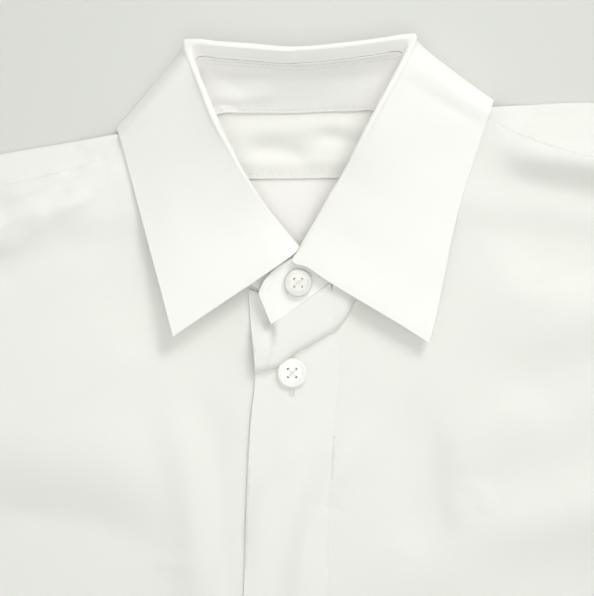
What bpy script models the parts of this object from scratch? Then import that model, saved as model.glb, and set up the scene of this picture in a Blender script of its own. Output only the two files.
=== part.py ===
"""A crumpled collared dress shirt, laid flat on its back with its collar buttoned.

Every piece that is cut and sewn is one object. Flat pieces are cut from a plan outline, filled with
triangles and laid in place with soft swells and folds; the collar, sleeves and cuffs are lofted from
sections. Sizes are in millimetres until a mesh is made. X runs to the wearer's left, Y towards the collar
and Z up from the surface that the shirt lies on. The origin is on that surface, a little below the V of
the neck. The shirt was laid down by hand, so its left and right sides differ.
"""

import math
from collections import namedtuple

import bpy
import numpy as np
from mathutils import Vector
from mathutils.geometry import delaunay_2d_cdt

# Driving dimensions, in millimetres
MM = 0.001
WALL = 1.2  # a sewn layer with its seam allowances, fused interlining and turned edges
SEAM_GAP = 0.3  # between two pieces that are sewn together
NECK_GAP = 1.3  # from the collar stand's lower edge to the neckline beside it
BACK_Z = WALL / 2  # middle of the layer that lies on the surface
FRONT_Z = 3.3  # middle of the fronts
PLACKET_Z = FRONT_Z + 1.5  # middle of the band, which lies on the under front
FOLD_RADIUS = (FRONT_Z - BACK_Z) / 2  # of a soft fold at an edge, from the lower layer to the upper one
COLLAR_RAISE = 2.0  # how far the collar leaf, tucked under the yoke, lifts it
LEAF_ROLL = 1.8  # radius of the turn from stand to leaf
LEAF_RISE = 4.5  # how far past the roll the leaf's curve is aimed before it heads for its edge
CORNER_EASE = 7.0  # how widely the stand rounds the corners where the leaf is folded under
YOKE_TUCK = 6.0  # the yoke's edge laps over the top of the back
LAP_LIFT = 1.2  # the deepest trough, so that the fronts stay clear of the back
PLACKET_WIDTH = 37.5
UNDERLAP = 33.0  # how far the under front reaches below the band
BUTTON_RADIUS = 6.1
BUTTON_THICK = 2.4
BUTTON_SPACING = 108.0
BUTTON_SIDES = 20
FIRST_BUTTON = (16.6, -33.8)  # from the band's edge, and down from the origin
COLLAR_BUTTON = (0.5, 6.8, 10.2)  # on the upper end of the stand
CUFF_WIDTH = 115.0
CUFF_LENGTH = 65.0
CUFF_WALL = 1.5
CUFF_LAP = 18.0
CUFF_BUTTON = 0.42  # where the cuff's lap begins, as a share of its width
SLEEVE_LENGTH = 565.0
SLEEVE_ANGLE = math.radians(52)  # between a sleeve and the middle of the back
SLEEVE_GAP = 0.8  # from the body's armhole to the sleeve
SLEEVE_BOW = (14.0, 10.0)  # how far its outer and its inner fold bow outwards
HEM_FRONT = -645.0
HEM_BACK = -665.0
FINE = 12.5  # spacing of the points where the photograph shows the cloth
COARSE = 30.0
COLLAR_STEP = 10.0  # spacing of the collar's sections
SEAM_STEP = 13.0  # spacing of the points that two pieces share along a seam

# Sections of the collar, from the wearer's right front end, round the back, to the left front end.
# seam: the stand's lower edge. roll: the line where stand turns into leaf. edge: the leaf's free edge.
# turn: how far the leaf comes down inside before it meets the stand. fall: how far the leaf drops
# straight down from the roll before it heads for its edge. settle: how flat it comes in to its edge.
Section = namedtuple(
    "Section",
    "seam_x seam_y seam_z roll_x roll_y roll_z edge_x edge_y edge_z turn fall settle lead_x lead_y",
)
COLLAR = [
    Section(-9.0, -0.5, 4.9, -1.2, 21.8, 10.8, -55.2, -17.1, 12.0, 3.0, -1.0, 0.3, 0, 0),
    Section(-24.0, 9.0, 5.2, -12.3, 38.5, 13.0, -60.6, 2.5, 11.0, 3.0, 0.0, 0.3, 0, 0),
    Section(-34.0, 29.0, 5.4, -23.1, 54.5, 19.0, -66.2, 23.0, 9.6, 3.0, 0.0, 0.3, 0, 0),
    Section(-38.6, 51.0, 5.4, -30.8, 68.5, 24.0, -71.2, 41.5, 8.4, 3.5, 0.0, 0.3, 0, 0),
    Section(-39.0, 69.0, 4.6, -37.0, 80.0, 26.5, -75.3, 57.0, 7.6, 4.0, 0.0, 0.3, 0, 0),
    Section(-38.2, 79.5, 3.9, -43.3, 96.0, 26.0, -78.3, 68.0, 7.4, 5.0, 0.0, 0.3, 0, 0),
    Section(-37.0, 82.6, 4.0, -48.8, 110.2, 24.6, -80.2, 74.2, 6.6, 6.0, 1.0, 0.25, 0, 0),
    Section(-35.8, 83.3, 4.1, -49.6, 113.4, 24.2, -81.2, 76.6, 3.9, 6.0, 6.0, 0.12, 0, 0),
    Section(-34.0, 83.8, 4.2, -46.0, 113.6, 24.5, -79.0, 77.3, 0.6, 6.0, 16.0, 0.0, 0, 0),
    Section(-26.0, 84.0, 4.2, -35.0, 112.4, 25.5, -60.0, 72.5, 0.6, 6.0, 18.0, 0.0, 0, 0),
    Section(-15.0, 84.0, 4.2, -21.0, 111.4, 26.0, -35.0, 70.5, 0.6, 6.0, 18.0, 0.0, 0, 0),
    Section(-1.0, 84.0, 4.2, -2.0, 109.8, 27.0, 0.0, 70.0, 0.6, 6.0, 18.0, 0.0, 0, 0),
    Section(14.0, 84.6, 4.2, 22.0, 111.8, 26.5, 36.0, 72.0, 0.6, 6.0, 18.0, 0.0, 0, 0),
    Section(26.0, 85.0, 4.2, 38.0, 114.0, 25.5, 62.0, 76.0, 0.6, 6.0, 18.0, 0.0, 0, 0),
    Section(33.0, 85.2, 4.2, 48.0, 115.6, 24.6, 86.0, 88.3, 0.6, 6.0, 16.0, 0.0, 0, 0),
    Section(34.8, 84.8, 4.1, 52.2, 115.8, 24.2, 88.6, 89.2, 3.9, 6.0, 6.0, 0.12, 0, 0),
    Section(36.0, 84.0, 4.0, 51.0, 112.2, 24.6, 87.6, 86.3, 7.0, 6.0, 1.0, 0.25, 0, 0),
    Section(37.6, 80.5, 3.9, 43.5, 97.5, 26.0, 84.0, 76.0, 7.8, 5.0, 0.0, 0.3, 0, 0),
    Section(38.6, 70.0, 4.8, 33.0, 78.5, 26.5, 79.5, 62.0, 7.3, 4.0, 0.0, 0.3, 0, 0),
    Section(38.8, 52.0, 6.0, 26.5, 66.5, 24.0, 74.4, 46.0, 7.1, 3.5, 0.0, 0.3, 0, 0),
    Section(35.5, 31.0, 7.2, 19.3, 53.0, 19.0, 69.2, 25.0, 7.2, 3.0, 0.0, 0.3, 0, 0),
    Section(31.0, 21.5, 7.8, 14.0, 44.5, 17.2, 66.5, 11.5, 7.5, 3.0, 0.0, 0.3, -2, 0),
    Section(25.5, 14.5, 8.4, 9.6, 36.5, 15.2, 64.0, -1.0, 7.8, 3.0, 0.0, 0.3, -4, -1),
    Section(19.0, 9.5, 8.8, 5.2, 29.0, 14.0, 61.7, -11.2, 8.3, 3.0, -0.5, 0.3, -7, -2),
    Section(12.7, 5.2, 9.2, 1.2, 21.8, 13.0, 59.2, -20.3, 8.8, 3.0, -1.0, 0.3, -10, -3),
]

# The stand runs on past the leaf at both front ends: the under end and the buttoned upper end.
StandEnd = namedtuple("StandEnd", "seam_x seam_y seam_z top_x top_y top_z")
UNDER_END = [
    StandEnd(13.5, -2.0, 4.9, 13.0, 12.0, 5.3),
    StandEnd(10.0, -3.0, 4.9, 10.5, 15.0, 5.5),
    StandEnd(2.0, -3.5, 4.9, 4.5, 17.0, 6.2),
]
UPPER_END = [
    StandEnd(4.0, -0.9, 9.7, -5.5, 16.3, 10.5),
    StandEnd(-5.0, -7.2, 10.1, -11.0, 12.2, 10.6),
    StandEnd(-9.8, -10.5, 10.3, -14.8, 7.8, 10.6),
    StandEnd(-11.6, -11.8, 10.3, -17.3, 2.0, 10.6),
]

# Plan curves of the body: along a shoulder from the neck outwards, and down from the top along the rest.
# The hems run from the wearer's right to the left.
Place = namedtuple("Place", "x y")
SHOULDER_RIGHT = [Place(-40, 83), Place(-80, 74), Place(-135, 64.5), Place(-180, 55.5), Place(-212, 48)]
SHOULDER_LEFT = [Place(40, 85), Place(88, 86), Place(135, 88), Place(180, 84), Place(215, 72)]
SEAM_RIGHT = [Place(-41, 72), Place(-82, 64), Place(-100, 58.5), Place(-135, 50), Place(-208, 33)]
SEAM_LEFT = [
    Place(41, 80), Place(86, 81), Place(94, 76.5), Place(103, 72), Place(124, 65), Place(135, 62.5),
    Place(211, 46),
]
ARMHOLE_RIGHT = [Place(-212, 48), Place(-206, -10), Place(-209, -85), Place(-222, -130), Place(-247, -168)]
ARMHOLE_LEFT = [Place(215, 72), Place(208, 10), Place(211, -65), Place(223, -112), Place(248, -150)]
SIDE_RIGHT = [Place(-247, -168), Place(-241, -370), Place(-252, -588)]
SIDE_LEFT = [Place(248, -150), Place(240, -360), Place(249, -580)]
HEM_OF_BACK = [
    Place(-252, -588), Place(-232, -632), Place(-150, -658), Place(0, HEM_BACK), Place(150, -656),
    Place(229, -626), Place(249, -580),
]
HEM_OF_RIGHT = [Place(-252, -588), Place(-230, -620), Place(-150, -638), Place(-12, HEM_FRONT)]
HEM_OF_LEFT = [
    Place(249, -580), Place(227, -614), Place(150, -636), Place(-45 + PLACKET_WIDTH + SEAM_GAP, HEM_FRONT),
]
YOKE_SEAM = [
    Place(-206, 4), Place(-120, 41), Place(-50, 53), Place(0, 54.2), Place(50, 54.5), Place(120, 50),
    Place(207, 22),
]
PLACKET_EDGE = [
    Place(-22, 4), Place(-21, -9), Place(-18.8, -33.6), Place(-20.7, -55), Place(-24, -135),
    Place(-45, HEM_FRONT),
]
NECK_SIDE = 41.0
NECK_OF_YOKE = [
    Place(38.6, 84.8), Place(34, 86.0), Place(20, 85.7), Place(0, 85.1), Place(-20, 85.1), Place(-36, 84.8),
    Place(-39.4, 83.0),
]
PLACKET_CORNER = [Place(-22, 4), Place(-17.5, 1), Place(-14, -8), Place(-12.8, -14)]
PLACKET_TOP = [Place(-12.8, -14), Place(-4.3, -8.6), Place(4.7, -2.3), Place(13.4, 3.9), Place(18.4, 7.3)]

# The band bulges over the stand's seam and hangs over itself: the foot of that bulge, and its left flank
BULGE_FOOT = [
    Place(27, -1), Place(19.5, -13), Place(8, -20.5), Place(-1.4, -26), Place(-8.6, -31.4), Place(-19, -34),
]
BULGE_FLANK = [Place(-14.5, 6), Place(-11.8, -11.8), Place(-12.3, -23.2), Place(-14.5, -33)]
BULGE_HIGH = 4.4
BULGE_RISE = 5.0  # how far above the foot it is full
BULGE_REACH = 26.0

# Soft swells of the fronts: centre, reach along and across, turn in degrees, height
Swell = namedtuple("Swell", "x y long wide turn high")
SWELLS = [
    Swell(150, 74, 58, 17, -8, 7.5),
    Swell(118, 12, 46, 24, 10, 3.0),
    Swell(-120, 30, 40, 20, 25, 3.5),
    Swell(-105, -45, 52, 26, 12, 4.5),
    Swell(-60, -130, 40, 30, 60, 3.5),
    Swell(110, -60, 48, 20, 28, 4.0),
    Swell(70, -128, 40, 26, -20, 3.5),
    Swell(160, -140, 60, 30, 35, 5.0),
    Swell(-165, -150, 60, 34, -30, 5.5),
    Swell(-120, -270, 80, 38, 25, 6.0),
    Swell(120, -290, 90, 36, -28, 6.0),
    Swell(-140, -430, 80, 40, -15, 5.5),
    Swell(140, -450, 90, 42, 18, 6.0),
    Swell(-110, -560, 60, 30, 10, 4.0),
    Swell(110, -570, 60, 30, -12, 4.0),
]

# Folds: a ridge, or a trough where the height is negative, from one place to another.
# bow: how far the line bends to the left of its run. wide: half width.
Fold = namedtuple("Fold", "x0 y0 x1 y1 bow wide high")
FRONT_FOLDS = [
    Fold(-47, -45, -29, -150, 5, 7, 3.4),
    Fold(-33, -50, -21, -150, 4, 6, -1.6),
    Fold(-28, -128, -38, -330, -6, 12, 4.5),
    Fold(28, -52, -20, -150, -12, 8, 2.4),
    Fold(52, -45, 54, -115, 3, 7, -2.2),
    Fold(42, -42, 40, -150, -4, 8, 2.0),
    Fold(60, -78, 112, -45, 4, 8, 2.6),
    Fold(62, -92, 92, -86, -3, 6, 1.8),
    Fold(92, -30, 200, 8, 6, 14, 3.0),
    Fold(100, 50, 205, 40, -3, 10, -2.0),
    Fold(-86, 50, -128, 34, 3, 5, 1.6),
    Fold(-98, 58, -120, 36, -3, 4, 1.4),
    Fold(-118, 56, -150, 20, 4, 8, 3.4),
    Fold(-88, 36, -150, 2, -4, 10, -2.6),
    Fold(-150, -60, -60, -100, 10, 14, -3.0),
    Fold(-175, -118, -60, -150, -8, 14, 4.0),
    Fold(-225, -165, -120, -220, 10, 12, 5.0),
    Fold(-235, -200, -90, -330, -14, 14, 5.5),
    Fold(228, -150, 120, -210, -10, 12, 5.0),
    Fold(236, -185, 80, -350, 14, 14, 5.5),
    Fold(-60, -380, -200, -470, 10, 14, 5.0),
    Fold(60, -390, 205, -500, -10, 14, 5.0),
    Fold(-70, -500, -90, -620, 6, 12, 4.0),
    Fold(75, -500, 100, -610, -6, 12, 4.0),
    Fold(20, -200, 40, -330, 6, 9, 3.0),
    Fold(-15, -260, 10, -400, -6, 9, 2.4),
]
YOKE_FOLDS = [
    Fold(-30, 66, 12, 63, 2, 5, -0.9),
    Fold(6, 74, 26, 66, 2, 5, -0.9),
    Fold(-34, 72, 30, 76, 1, 6, 1.4),
]

# Folds of a sleeve in its own sizes: along it from the shoulder, across it from the outer fold
SLEEVE_FOLDS = [
    Fold(8, 60, 150, 25, 6, 12, 6.0),
    Fold(20, 170, 120, 60, -10, 12, 6.5),
    Fold(60, 180, 190, 110, -8, 10, 5.5),
    Fold(150, 160, 300, 60, 10, 13, 5.0),
    Fold(210, 40, 380, 100, -8, 12, 5.0),
    Fold(300, 140, 400, 30, 8, 11, 5.5),
    Fold(360, 120, 520, 70, -6, 11, 4.5),
    Fold(430, 28, 562, 40, 4, 8, 4.0),
    Fold(460, 84, 562, 74, -3, 7, 4.5),
]

Look = namedtuple("Look", "colour roughness coat")
COTTON = Look((0.86, 0.86, 0.83, 1.0), 0.75, 0.0)
PEARL = Look((0.82, 0.81, 0.76, 1.0), 0.3, 0.4)


def smooth(low, high, value):
    part = np.clip((value - low) / (high - low), 0.0, 1.0)
    return part * part * (3.0 - 2.0 * part)


def through(rows, knots, places):
    """A smooth curve through the rows of a table, read at any places along its knots."""
    rows = np.asarray(rows, float)
    slopes = np.gradient(rows, knots, axis=0)
    first = np.clip(np.searchsorted(knots, places, side="right") - 1, 0, len(knots) - 2)
    span = (knots[first + 1] - knots[first])[:, None]
    part = (places - knots[first])[:, None] / span
    square, cube = part**2, part**3
    return (
        (2 * cube - 3 * square + 1) * rows[first]
        + (cube - 2 * square + part) * span * slopes[first]
        + (3 * square - 2 * cube) * rows[first + 1]
        + (cube - square) * span * slopes[first + 1]
    )


def run_of(rows):
    return np.r_[0.0, np.cumsum(np.linalg.norm(np.diff(np.asarray(rows, float), axis=0), axis=1))]


def plan_curve(places, step=1.0):
    """Points of a smooth plan curve, about a step apart."""
    knots = run_of(places)
    return through(places, knots, np.linspace(0, knots[-1], max(2, round(knots[-1] / step) + 1)))


def curve_y(curve, x):
    """Height in the plan of a curve that runs along X."""
    order = np.argsort(curve[:, 0])
    return np.interp(x, curve[order, 0], curve[order, 1])


SHOULDERS = np.vstack([plan_curve(SHOULDER_RIGHT)[::-1], plan_curve(SHOULDER_LEFT)])
BACK_SEAM = plan_curve(YOKE_SEAM)
SIDES = np.vstack([plan_curve(line) for line in (ARMHOLE_RIGHT, SIDE_RIGHT, ARMHOLE_LEFT, SIDE_LEFT)])


def distance_to(points, curve):
    """Distance of each plan point from a curve given by close points."""
    return np.sqrt(((points[:, None, :] - curve[None, ::4, :]) ** 2).sum(axis=2).min(axis=1))


def fold_height(x, y, folds):
    total = np.zeros_like(x)
    for fold in folds:
        length = math.hypot(fold.x1 - fold.x0, fold.y1 - fold.y0)
        ux, uy = (fold.x1 - fold.x0) / length, (fold.y1 - fold.y0) / length
        along = ((x - fold.x0) * ux + (y - fold.y0) * uy) / length
        inside = np.clip(along, 0.0, 1.0)
        across = (y - fold.y0) * ux - (x - fold.x0) * uy - 4 * fold.bow * inside * (1 - inside)
        ends = smooth(-0.05, 0.3, along) * (1 - smooth(0.7, 1.05, along))
        total += fold.high * ends * np.exp(-((across / fold.wide) ** 2))
    return total


def swell_height(x, y):
    total = np.zeros_like(x)
    for swell in SWELLS:
        turn = math.radians(swell.turn)
        along = (x - swell.x) * math.cos(turn) + (y - swell.y) * math.sin(turn)
        across = (y - swell.y) * math.cos(turn) - (x - swell.x) * math.sin(turn)
        total += swell.high * np.exp(-((along / swell.long) ** 2) - (across / swell.wide) ** 2)
    return total


def raised(x, y):
    """How much the collar leaf under the yoke and the lapped back seam lift the cloth above, from 0 to 1."""
    past_seam = y - curve_y(BACK_SEAM, x)
    seam = smooth(-26, -9, past_seam) * smooth(30, 14, past_seam)
    return np.maximum(seam, smooth(108, 92, np.abs(x)) * smooth(26, 50, y))


def crumple(x, y):
    """Height of the fronts' swells and folds, which die out at the edges and under the collar."""
    points = np.stack([x, y], axis=-1)
    edges = smooth(2, 30, distance_to(points, SIDES)) * smooth(2, 34, y - HEM_FRONT)
    shoulder = smooth(1, 16, curve_y(SHOULDERS, x) - y)
    collar = smooth(78, 108, np.hypot(x, y - 45))
    past = x - band_edge(y)
    over_band = smooth(-16, -4, past) * smooth(PLACKET_WIDTH + 14, PLACKET_WIDTH + 2, past)
    lift = swell_height(x, y) + fold_height(x, y, FRONT_FOLDS)
    return np.maximum(lift, -LAP_LIFT * (1 - over_band)) * edges * shoulder * collar


def bulge(x, y):
    """The band's overhang between the stand's seam and the second button."""
    foot = plan_curve(BULGE_FOOT)
    above = y - curve_y(foot, x)
    flank = plan_curve(BULGE_FLANK)
    order = np.argsort(flank[:, 1])
    past_flank = x - np.interp(y, flank[order, 1], flank[order, 0])
    rise = np.sqrt(np.clip(above / BULGE_RISE, 0.0, 1.0))
    rise *= 1 - 0.2 * smooth(BULGE_RISE, BULGE_REACH, above)
    return BULGE_HIGH * rise * smooth(-1.0, 2.2, past_flank) * smooth(36, 20, x)


def under_z(x, y):
    return FRONT_Z + COLLAR_RAISE * raised(x, y) * smooth(34, 46, np.abs(x))


def under_front_z(x, y):
    """The under front, pressed flatter where the band lies on it."""
    covered = smooth(-14, 1, x - band_edge(y))
    return under_z(x, y) + crumple(x, y) * (1 - covered)


def band_edge(y):
    edge = plan_curve(PLACKET_EDGE)
    return np.interp(y, edge[::-1, 1], edge[::-1, 0])


def upper_z(x, y):
    """The upper front and its band, which step down to the common level away from the band."""
    step = (PLACKET_Z - FRONT_Z) * (1 - smooth(2, 34, x - band_edge(y) - PLACKET_WIDTH))
    return under_z(x, y) + step + crumple(x, y) + bulge(x, y)


def thinned(curve, spacing):
    """The points of a close curve that are as far apart as the spacing at each of them asks."""
    kept = [curve[0]]
    for point in curve[1:-1]:
        if np.linalg.norm(point - kept[-1]) >= spacing(point[0], point[1]):
            kept.append(point)
    if np.linalg.norm(curve[-1] - kept[-1]) < 0.4 * spacing(curve[-1][0], curve[-1][1]) and len(kept) > 1:
        kept.pop()
    kept.append(curve[-1])
    return np.array(kept)


def inside_of(points, outline):
    x, y = points[:, 0], points[:, 1]
    inside = np.zeros(len(points), bool)
    for (x0, y0), (x1, y1) in zip(outline, np.roll(outline, -1, axis=0)):
        crosses = (y0 > y) != (y1 > y)
        inside ^= crosses & (x < (x1 - x0) * (y - y0) / ((y1 - y0) or 1e-9) + x0)
    return inside


def is_shared(line):
    """Whether a line comes in wide steps already. Two pieces share its points then, so it keeps them."""
    return np.linalg.norm(line[1] - line[0]) > 1.5


def cut(sides, spacing, guides=()):
    """Cuts a flat piece: its outline is the sides end to end, filled with triangles of the given spacing."""
    rims = [side if is_shared(side) else thinned(side, spacing) for side in sides]
    after = rims[1:] + rims[:1]
    outline = np.vstack([rim[:-1] if np.allclose(rim[-1], on[0]) else rim for rim, on in zip(rims, after)])
    lines = [guide if is_shared(guide) else thinned(guide, spacing) for guide in guides]
    fixed = np.vstack([outline, *lines])
    dense = np.vstack([plan_curve(outline, 2.0), *[plan_curve(line, 2.0) for line in lines]])
    low, high = outline.min(axis=0), outline.max(axis=0)
    filled = []
    for pitch in sorted({spacing(x, y) for x, y in outline} | {spacing(x, y) for x, y in dense[::5]}):
        rows = np.arange(low[1], high[1], pitch * math.sqrt(0.75))
        for number, y in enumerate(rows):
            xs = np.arange(low[0] + pitch * 0.5 * (number % 2), high[0], pitch)
            row = np.stack([xs, np.full_like(xs, y)], axis=1)
            filled.append(row[[spacing(px, py) == pitch for px, py in row]])
    filled = np.vstack(filled)
    filled = filled[inside_of(filled, outline)]
    room = np.array([0.55 * spacing(x, y) for x, y in filled])
    filled = filled[distance_to(filled, np.repeat(dense, 4, axis=0)) > room]
    points = np.vstack([fixed, filled])
    edges = []
    start = len(outline)
    for line in lines:
        edges += [(start + n, start + n + 1) for n in range(len(line) - 1)]
        start += len(line)
    result = delaunay_2d_cdt([Vector(p) for p in points], edges, [list(range(len(outline)))], 1, 1e-3)
    return np.array([tuple(v) for v in result[0]]), np.array([tuple(f) for f in result[2]])


def finish(name, points, faces, look, sharp):
    """Makes the object of a piece, with a material of its own."""
    mesh = bpy.data.meshes.new(name)
    mesh.from_pydata((np.asarray(points) * MM).tolist(), [], [[int(i) for i in face] for face in faces])
    mesh.update()
    material = bpy.data.materials.new(name)
    material.use_nodes = True
    shader = material.node_tree.nodes["Principled BSDF"]
    shader.inputs["Base Color"].default_value = look.colour
    shader.inputs["Roughness"].default_value = look.roughness
    shader.inputs["Coat Weight"].default_value = look.coat
    material.diffuse_color = look.colour
    mesh.materials.append(material)
    mesh.shade_smooth()
    mesh.set_sharp_from_angle(angle=math.radians(sharp))
    bpy.context.scene.collection.objects.link(bpy.data.objects.new(name, mesh))


def solid_from(name, outer, inner, faces):
    """Joins two skins that have the same triangles into one closed wall."""
    count = len(outer)
    pairs = {(a, b) for face in faces for a, b in zip(face, np.roll(face, -1))}
    walls = [tuple(face) for face in faces] + [tuple(face + count)[::-1] for face in faces]
    for a, b in sorted(pair for pair in pairs if pair[::-1] not in pairs):
        walls += [(b, a, a + count), (b, a + count, b + count)]
    finish(name, np.vstack([outer, inner]), walls, COTTON, 40)


def lay(name, flat, faces, height):
    """Lays a cut piece: its middle is at the height that the function gives for each plan point."""
    middle = np.column_stack([flat, height(flat[:, 0], flat[:, 1])])
    half = np.array([0, 0, WALL / 2])
    solid_from(name, middle + half, middle - half, faces)


def normals_of(points, faces):
    corners = points[faces]
    flat = np.cross(corners[:, 1] - corners[:, 0], corners[:, 2] - corners[:, 0])
    total = np.zeros_like(points)
    for corner in range(3):
        np.add.at(total, faces[:, corner], flat)
    return total / np.linalg.norm(total, axis=1)[:, None]


def grid_faces(grid, ring=False):
    """Two triangles for each cell of a grid, split along its shorter diagonal."""
    rows, columns, _ = grid.shape
    points = grid.reshape(-1, 3)
    faces = []
    for r in range(rows - 1):
        for c in range(columns if ring else columns - 1):
            after = (c + 1) % columns
            a, b = r * columns + c, r * columns + after
            d, e = (r + 1) * columns + c, (r + 1) * columns + after
            if np.linalg.norm(points[a] - points[e]) <= np.linalg.norm(points[b] - points[d]):
                faces += [(a, b, e), (a, e, d)]
            else:
                faces += [(a, b, d), (b, e, d)]
    return np.array(faces)


def grid_normals(grid, ring=False):
    down = np.gradient(grid, axis=0)
    if ring:
        along = (np.roll(grid, -1, axis=1) - np.roll(grid, 1, axis=1)) / 2
    else:
        along = np.gradient(grid, axis=1)
    normal = np.cross(along, down)
    return normal / np.linalg.norm(normal, axis=2)[:, :, None]


def loft(name, grid, wall=WALL, ring=False, facing=None):
    """A wall through a grid of middle points: sections in rows, places along a section in columns.

    facing gives the wall's direction at the first places of each section, where two walls meet.
    """
    normals = grid_normals(grid, ring)
    if facing is not None:
        normals[:, 0] = np.sign((normals[:, 0] * facing).sum()) * facing
    half = normals * wall / 2
    faces = grid_faces(grid, ring)
    solid_from(name, (grid + half).reshape(-1, 3), (grid - half).reshape(-1, 3), faces)


def front_spacing(x, y):
    if -42 < y < 12 and 14 < x < 34:
        return 5.0
    return FINE if y > -142 and abs(x) < 145 else COARSE


def long_spacing(x, y):
    return FINE * 1.3 if y > 0 else COARSE * 1.5


def collar_curves():
    """The collar's sections, close enough together for a smooth loft."""
    table = np.array(COLLAR, float)
    knots = run_of(table[:, :6])
    places = [knots[0]]
    for low, high in zip(knots, knots[1:]):
        count = max(1, round((high - low) / COLLAR_STEP))
        places += [low + (high - low) * n / count for n in range(1, count + 1)]
    return through(table, knots, np.array(places))


def collar_frames(rows):
    """For each section: the seam, the middle of the roll, its directions, and the same eased for the inside.

    The roll turns sharply where the leaf is folded under. The stand inside it turns in a wider bend.
    """
    seam, roll = rows[:, 0:3], rows[:, 3:6]
    between = np.abs(run_of(roll)[:, None] - run_of(roll)[None, :])
    share = np.exp(-((between / CORNER_EASE) ** 2))
    share /= share.sum(axis=1)[:, None]
    down = seam - roll
    down /= np.linalg.norm(down, axis=1)[:, None]
    run = np.gradient(roll, axis=0)
    out = np.cross(run, down)
    out /= np.linalg.norm(out, axis=1)[:, None]
    eased_out = share @ out
    eased_out /= np.linalg.norm(eased_out, axis=1)[:, None]
    eased_down = share @ down
    centre = roll + down * LEAF_ROLL
    eased_down /= np.linalg.norm(eased_down, axis=1)[:, None]
    inner = share @ (centre - out * LEAF_ROLL)
    return seam, centre, down, out, inner, eased_down, eased_out


def make_collar():
    rows = collar_curves()
    seam, centre, down, out, inner, inner_down, inner_out = collar_frames(rows)
    turn = rows[:, 9:10]

    leaf = [inner + inner_down * turn, inner + inner_down * turn * 0.5, inner]
    for angle in (-35, 20, 90):
        side, over = math.sin(math.radians(angle)), math.cos(math.radians(angle))
        leaf.append(centre + LEAF_ROLL * (out * side - down * over))
    start = centre + out * LEAF_ROLL
    edge = rows[:, 6:9]
    lead = start + down * LEAF_RISE - np.array([0, 0, 1.0]) * rows[:, 10:11]
    lead[:, :2] += rows[:, 12:14]
    late = edge + (start - edge) * (0.7 - 1.1 * rows[:, 11:12])
    late[:, 2] = edge[:, 2] + (start[:, 2] - edge[:, 2]) * rows[:, 11]
    for part in np.linspace(0, 1, 8)[1:]:
        left = 1 - part
        leaf.append(left**3 * start + 3 * left**2 * part * lead + 3 * left * part**2 * late + part**3 * edge)
    loft("collar_leaf", np.stack(leaf, axis=1), facing=inner_out)

    apart = np.cross(inner_out, np.gradient(leaf[0], axis=0))
    apart /= np.linalg.norm(apart, axis=1)[:, None]
    top = leaf[0] + apart * np.sign((apart * inner_down).sum()) * 2.3 * SEAM_GAP
    bottoms = np.vstack([np.array(UNDER_END)[:, :3], seam, np.array(UPPER_END)[:, :3]])
    tops = np.vstack([np.array(UNDER_END)[:, 3:], top, np.array(UPPER_END)[:, 3:]])
    stand = [tops + (bottoms - tops) * part for part in (0, 1 / 3, 2 / 3, 1)]
    ends = [np.repeat(inner_out[:1], len(UNDER_END), axis=0), inner_out]
    ends.append(np.repeat(inner_out[-1:], len(UPPER_END), axis=0))
    loft("collar_stand", np.stack(stand, axis=1), facing=np.vstack(ends))


def beside(curve, distance):
    """A curve moved to the left of its run."""
    run = np.gradient(curve, axis=0)
    return curve + np.column_stack([-run[:, 1], run[:, 0]]) / np.linalg.norm(run, axis=1)[:, None] * distance


def neckline(first, last):
    """The body's neck edge beside the stand's lower edge, from one section of the collar to another."""
    return beside(plan_curve(np.array(COLLAR)[first : last + 1, :2]), NECK_GAP)


def armhole_points(places, start_y):
    """The points along an armhole that the body's pieces and the sleeve share, from a height down."""
    curve = plan_curve(places)
    shared = plan_curve(places, SEAM_STEP * 1.3)
    first = curve[np.argmin(np.abs(curve[:, 1] - start_y))]
    return np.vstack([first, shared[shared[:, 1] < first[1] - 4]])


def make_back():
    tucked = BACK_SEAM + np.array([0, YOKE_TUCK])
    arm_right = armhole_points(ARMHOLE_RIGHT, tucked[0, 1] - 2)
    arm_left = armhole_points(ARMHOLE_LEFT, tucked[-1, 1] - 2)
    sides = [
        tucked[::-1], arm_right, plan_curve(SIDE_RIGHT), plan_curve(HEM_OF_BACK),
        plan_curve(SIDE_LEFT)[::-1], arm_left[::-1],
    ]
    flat, faces = cut(sides, long_spacing)
    lay("back", flat, faces, lambda x, y: np.full_like(x, BACK_Z))


def yoke_neck(left, left_fold, right, right_fold, turn):
    """The yoke's neck edge, unrolled, from its left forward seam round the back to the right one."""
    on_left = [left, (left + (NECK_SIDE, left_fold + turn)) / 2, (NECK_SIDE, left_fold + turn)]
    on_right = [(-NECK_SIDE, right_fold + turn), (right + (-NECK_SIDE, right_fold + turn)) / 2, right]
    return [
        np.array(on_left),
        np.array([(NECK_SIDE, left_fold + turn * part) for part in (1, 0.5, 0)]),
        plan_curve([Place(NECK_SIDE, left_fold), *NECK_OF_YOKE[:2]], 2.5),
        plan_curve(NECK_OF_YOKE[1:-1], 7),
        plan_curve([*NECK_OF_YOKE[-2:], Place(-NECK_SIDE, right_fold)], 2.5),
        np.array([(-NECK_SIDE, right_fold + turn * part) for part in (0, 0.5, 1)]),
        np.array(on_right),
    ]


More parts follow.
